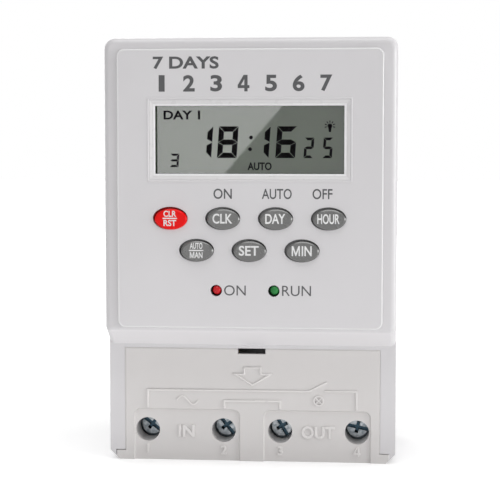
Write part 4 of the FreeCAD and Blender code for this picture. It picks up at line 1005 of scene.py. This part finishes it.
class TIMER_OT_cover_marks(bpy.types.Operator):
    """Raise the arrow, the wiring figure and the terminal numbers on the cover"""
    bl_idname = "timer.cover_marks"
    bl_label = "Cover marks"

    def execute(self, context):
        self.field_edges()
        self.seams()
        self.tube_ends()
        high = context.scene.timer_sizes.relief / MM
        thickness = high + 0.15
        pieces = self.figure((COVER_Y - high, thickness)) + self.lettering((SUNK_Y - high, thickness))
        # The marks are painted lighter than the cover, as a painted highlight.
        finish_piece(join("cover_marks", pieces), "cover", "raised marks")
        return {"FINISHED"}

    def figure(self, layer):
        """Arrow and wiring figure, with a wave for the supply and a lamp for the load."""
        arrow = [(-2.16, -33.54), (2.62, -33.54), (2.62, -35.41), (5.28, -35.41), (0.18, -38.57),
                 (-4.92, -35.41), (-2.16, -35.41)]
        lines = (
            [(-30.25, -45.6), (-30.25, -40.25), (16.6, -40.15), (21.76, -37.5)],
            [(20.9, -40.1), (30.24, -40.1), (30.24, -45.6)],
            [(-7.9, -45.6), (-7.9, -43.28), (8.23, -43.2), (8.23, -45.6)],
        )
        sides = both_sides(arrow[-1:] + arrow, arrow, arrow[1:] + arrow[:1], 0.55)
        pieces = [self.sloped(flat_shape("arrow", sides, layer), 0.2)]
        for number, points in enumerate(lines):
            line = flat_shape("line_%d" % number, [stroke(points, 0.65)], layer)
            pieces.append(self.sloped(line, 0.22))
        pieces.append(self.sloped(self.wave("supply_mark", -18.6, -43.2, 3.2, 1.2, layer), 0.16))
        for part in self.lamp_figure("load_mark", 19.4, -42.9, 1.55, layer):
            pieces.append(self.sloped(part, 0.14))
        return pieces

    def lettering(self, layer):
        """Words and terminal numbers in the sunk fields."""
        pieces = [words("word_in", "IN", (-19.0, -52.3), 3.7, 4.8, layer, 0.35, 0.2),
                  words("word_out", "OUT", (19.2, -52.2), 3.7, 9.6, layer, 0.35, 0.2)]
        for number, x in enumerate(TERMINAL_XS, 1):
            name = "terminal_number_%d" % number
            if number == 4:
                pieces.append(self.sloped(figure_four(name, (x, -57.75), 2.7, 2.0, layer), 0.07))
            else:
                pieces.append(words(name, str(number), (x, -57.75), 2.7, None, layer, 0.3, 0.15))
        return pieces

    def sloped(self, piece, width):
        """Slopes the sides of a raised mark."""
        apply_modifier(piece, "BEVEL", width=width * MM, segments=1, limit_method="ANGLE",
                       angle_limit=math.radians(60))
        return piece

    def field_edges(self):
        """Eased edges of the two sunk fields, open at the bottom."""
        width = FIELD_X[1] - FIELD_X[0]
        tall = FIELD_TOP_Z - BOTTOM_Z + 2.0
        slope = ((0.12, COVER_Y - 0.012), (0.06, COVER_Y - 0.03), (-0.36, SUNK_Y - 0.04),
                 (-0.48, SUNK_Y - 0.012))
        for name, side in (("field_edge_left", -1), ("field_edge_right", 1)):
            rectangle = (side * (FIELD_X[0] + width / 2), FIELD_TOP_Z - tall / 2, width / 2, tall / 2)
            edge = ring(name, rectangle, FIELD_R, slope, 0.01)
            open_mesh(edge, "FACE", "SELECT")
            bpy.ops.mesh.bisect(
                plane_co=(0, 0, (BOTTOM_Z + 0.3) * MM), plane_no=(0, 0, -1), use_fill=True, clear_outer=True)
            close_mesh()
            finish_piece(edge, "cover", "cover")

    def seams(self):
        """Thin lips on the cover's edge that nearly close its seams."""
        halves = []
        for side in (-1, 1):
            near = side * NOTCH_HALF_W
            inner = side * (COVER_HALF_W - 0.4)
            lip = side * (COVER_HALF_W + 0.12)
            outline = [(near, COVER_TOP_Z - 0.4), (near, COVER_TOP_Z + 0.08), (lip, COVER_TOP_Z + 0.08),
                       (lip, BAY_FLOOR_Z + 0.1), (inner, BAY_FLOOR_Z + 0.1), (inner, COVER_TOP_Z - 0.4)]
            halves.append(flat_shape("seam", [outline], (COVER_Y + 0.10, 1.0)))
        finish_piece(join("cover_lips", halves), "cover", "cover")

    def tube_ends(self):
        """Longer ends of the four screwdriver tubes, down to just above the screw heads."""
        ends = []
        for x in TERMINAL_XS:
            outlines = [circle(x, TERMINAL_Z, TUBE_R + 0.5, 64), circle(x, TERMINAL_Z, TUBE_R, 64)]
            ends.append(flat_shape("tube", outlines, (TUBE_END_Y - 0.3, 2.25)))
        tubes = join("tube_ends", ends)
        smooth(tubes, 30)
        finish_piece(tubes, "cover", "cover")

    def wave(self, name, x, z, half, tall, layer):
        """One wave of alternating current."""
        points = [(x - half + 2 * half * i / 24, z + tall * math.sin(math.tau * i / 24)) for i in range(25)]
        return flat_shape(name, [stroke(points, 0.45)], layer)

    def lamp_figure(self, name, x, z, r, layer):
        """Lamp of a wiring diagram: a ring with a cross, whose bars lie a hair apart in depth."""
        parts = [flat_shape(name + "_ring", [circle(x, z, r), circle(x, z, r - 0.4)], layer)]
        front_y, thickness = layer
        for angle, back in ((45, 0.01), (135, 0.03)):
            bar = stroke([around(x, z, 0.2 - r, angle), around(x, z, r - 0.2, angle)], 0.36)
            parts.append(flat_shape("%s_%d" % (name, angle), [bar], (front_y + back, thickness)))
        return parts


class TIMER_OT_lamps(bpy.types.Operator):
    """Replace the two lamps by smooth domes with a flange behind"""
    bl_idname = "timer.lamps"
    bl_label = "Lamps"

    def execute(self, context):
        flange = LAMP_FLANGE * MM
        wider = LAMP_FLANGE_R / LAMP_R
        for node, finish_name, slot in LAMPS:
            low, high = (Vector(corner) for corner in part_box(node))
            centre = (low + high) / 2 + LAMP_SHIFT * MM
            equator = low.y + LAMP_R * MM
            take()
            bpy.ops.mesh.primitive_uv_sphere_add(
                segments=48, ring_count=24, radius=LAMP_R * MM, rotation=UPRIGHT,
                location=(centre.x, equator, centre.z))
            lamp = named("dome_" + node)
            settle(lamp)
            open_mesh(lamp, "FACE")
            pick_faces(lamp, lambda centre, normal: centre.y > equator)
            bpy.ops.mesh.delete(type="FACE")
            bpy.ops.mesh.select_mode(type="EDGE")
            pick_edges(lamp, lambda point: point.y > equator - 1e-6)
            extrude(LAMP_BACK_Y * MM - flange - equator)
            bpy.ops.transform.resize(value=(wider, 1, wider))
            extrude(flange)
            bpy.ops.mesh.edge_face_add()
            close_mesh()
            tidy_mesh(lamp)
            smooth(lamp, 40)
            finish_piece(lamp, "housing", finish_name, node)
        return {"FINISHED"}


class TIMER_OT_terminals(bpy.types.Operator):
    """Replace the terminal screws by detailed ones, and finish the clamps and bars"""
    bl_idname = "timer.terminals"
    bl_label = "Terminals"

    def execute(self, context):
        dress("brass", ["line_bar", "neutral_bar", "load_bar"])
        dress("zinc", ["wire_clamp_%d" % number for number in range(1, 5)])
        first = self.screw()
        for number, (x, turn) in enumerate(zip(TERMINAL_XS, SCREW_TURNS), 1):
            take(first)
            bpy.ops.object.duplicate(linked=False)
            twin = named("screw_head_%d" % number)
            twin.rotation_euler = (0, math.radians(turn), 0)
            settle(twin)
            twin.location = (x * MM, 0, TERMINAL_Z * MM)
            settle(twin)
            node = "terminal_screw_%d" % number
            finish_piece(twin, node, "screw zinc", node)
        take(first)
        bpy.ops.object.delete()
        return {"FINISHED"}

    def screw(self):
        """Pan-head screw with a slot, a cross recess and a thread, on the Y axis."""
        top = SCREW_TOP_Y * MM
        back = SCREW_BACK_Y * MM
        take()
        bpy.ops.mesh.primitive_cylinder_add(
            vertices=72, radius=SCREW_R * MM, depth=back - top, rotation=UPRIGHT,
            location=(0, (top + back) / 2, 0))
        head = named("screw_master")
        settle(head)
        open_mesh(head, "EDGE")
        pick_edges(head, lambda point: point.y < top + 1e-6)
        bpy.ops.mesh.bevel(offset=0.35 * MM, segments=5, profile=0.5)
        close_mesh()
        for name, size in SCREW_RECESS:
            cutter = self.cutter(name, size, top)
            apply_modifier(head, "BOOLEAN", operation="DIFFERENCE", object=cutter, solver="EXACT")
            take(cutter)
            bpy.ops.object.delete()
        return join("screw_master", [head, self.shank(back)])

    def cutter(self, name, size, top):
        """Cutter of the slot, or of one bar of the tapered cross."""
        take()
        bpy.ops.mesh.primitive_cube_add(size=1, location=(0, top, 0))
        cutter = named(name)
        cutter.scale = tuple(side * MM for side in size)
        settle(cutter)
        if name != "slot":
            open_mesh(cutter, "FACE")
            pick_faces(cutter, lambda centre, normal: normal.y > 0.9)
            bpy.ops.transform.resize(value=(0.55, 1, 0.55))
            close_mesh()
        return cutter

    def shank(self, back):
        """Threaded shank, turned from one tooth."""
        take()
        bpy.ops.mesh.primitive_cylinder_add(
            vertices=32, radius=THREAD_CORE_R * MM, depth=THREAD_LENGTH * MM, rotation=UPRIGHT,
            location=(0, back + (THREAD_LENGTH / 2 - 0.02) * MM, 0))
        core = named("core")
        settle(core)
        take()
        bpy.ops.mesh.primitive_circle_add(
            vertices=3, radius=0.3 * MM, location=((THREAD_CORE_R - 0.02) * MM, back + 0.4 * MM, 0))
        tooth = named("tooth")
        settle(tooth)
        apply_modifier(tooth, "SCREW", axis="Y", angle=math.tau, screw_offset=THREAD_PITCH * MM, iterations=9,
                       steps=24, render_steps=24, use_merge_vertices=False)
        return join("shank", [core, tooth])


class TIMER_OT_inside(bpy.types.Operator):
    """Finish everything that the closed housing hides, and the fixings at the back"""
    bl_idname = "timer.inside"
    bl_label = "Inside and back"

    def execute(self, context):
        self.clip_spring()
        for finish_name, nodes in INSIDE.items():
            dress(finish_name, nodes)
        dress("black plastic", [node + "_pill" for node in KEY_LEGENDS])
        return {"FINISHED"}

    def clip_spring(self):
        """Meander spring of the rail clip."""
        low, high = (Vector(corner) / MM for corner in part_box("rail_clip_spring"))
        tall = high.z - low.z
        thick = 0.7
        legs = 7
        pitch = (tall - thick) / legs
        reach = high.x - thick / 2 - pitch / 2
        points = []
        for leg in range(legs + 1):
            side = 1 if leg % 2 == 0 else -1
            z = low.z + thick / 2 + leg * pitch
            points += [(-side * reach, z), (side * reach, z)]
            if leg < legs:
                for step in range(1, 10):
                    across, up = around(reach, z + pitch / 2, pitch / 2, -90 + 18 * step)
                    points.append((side * across, up))
        spring = flat_shape("clip_spring", [stroke(points, thick)], (low.y, high.y - low.y))
        smooth(spring, 30)
        finish_piece(spring, "housing", "white plastic", "rail_clip_spring")
        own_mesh(spring)


STEPS = (TIMER_OT_stage, TIMER_OT_shells, TIMER_OT_keys, TIMER_OT_display, TIMER_OT_printing,
         TIMER_OT_cover_marks, TIMER_OT_lamps, TIMER_OT_terminals, TIMER_OT_inside)


class TIMER_PT_sidebar(bpy.types.Panel):
    """Lists the settings and the steps"""
    bl_idname = "TIMER_PT_sidebar"
    bl_label = "Timer Switch"
    bl_space_type = "VIEW_3D"
    bl_region_type = "UI"
    bl_category = "Timer Switch"

    def draw(self, context):
        for group in (context.scene.timer_looks, context.scene.timer_sizes):
            for name in group.__annotations__:
                self.layout.prop(group, name)
        for step in STEPS:
            self.layout.operator(step.bl_idname)


CLASSES = (TimerLooks, TimerSizes) + STEPS + (TIMER_PT_sidebar,)


def register():
    """Registers the classes and hangs the settings on the scene."""
    for cls in CLASSES:
        bpy.utils.register_class(cls)
    bpy.types.Scene.timer_looks = bpy.props.PointerProperty(type=TimerLooks)
    bpy.types.Scene.timer_sizes = bpy.props.PointerProperty(type=TimerSizes)


def unregister():
    """Takes the settings and the classes away again."""
    del bpy.types.Scene.timer_sizes
    del bpy.types.Scene.timer_looks
    for cls in reversed(CLASSES):
        bpy.utils.unregister_class(cls)


def main():
    """Builds every piece in order."""
    register()
    bpy.ops.timer.stage()
    bpy.ops.timer.shells()
    bpy.ops.timer.keys()
    bpy.ops.timer.display()
    bpy.ops.timer.printing()
    bpy.ops.timer.cover_marks()
    bpy.ops.timer.lamps()
    bpy.ops.timer.terminals()
    bpy.ops.timer.inside()


if __name__ == "__main__":
    main()
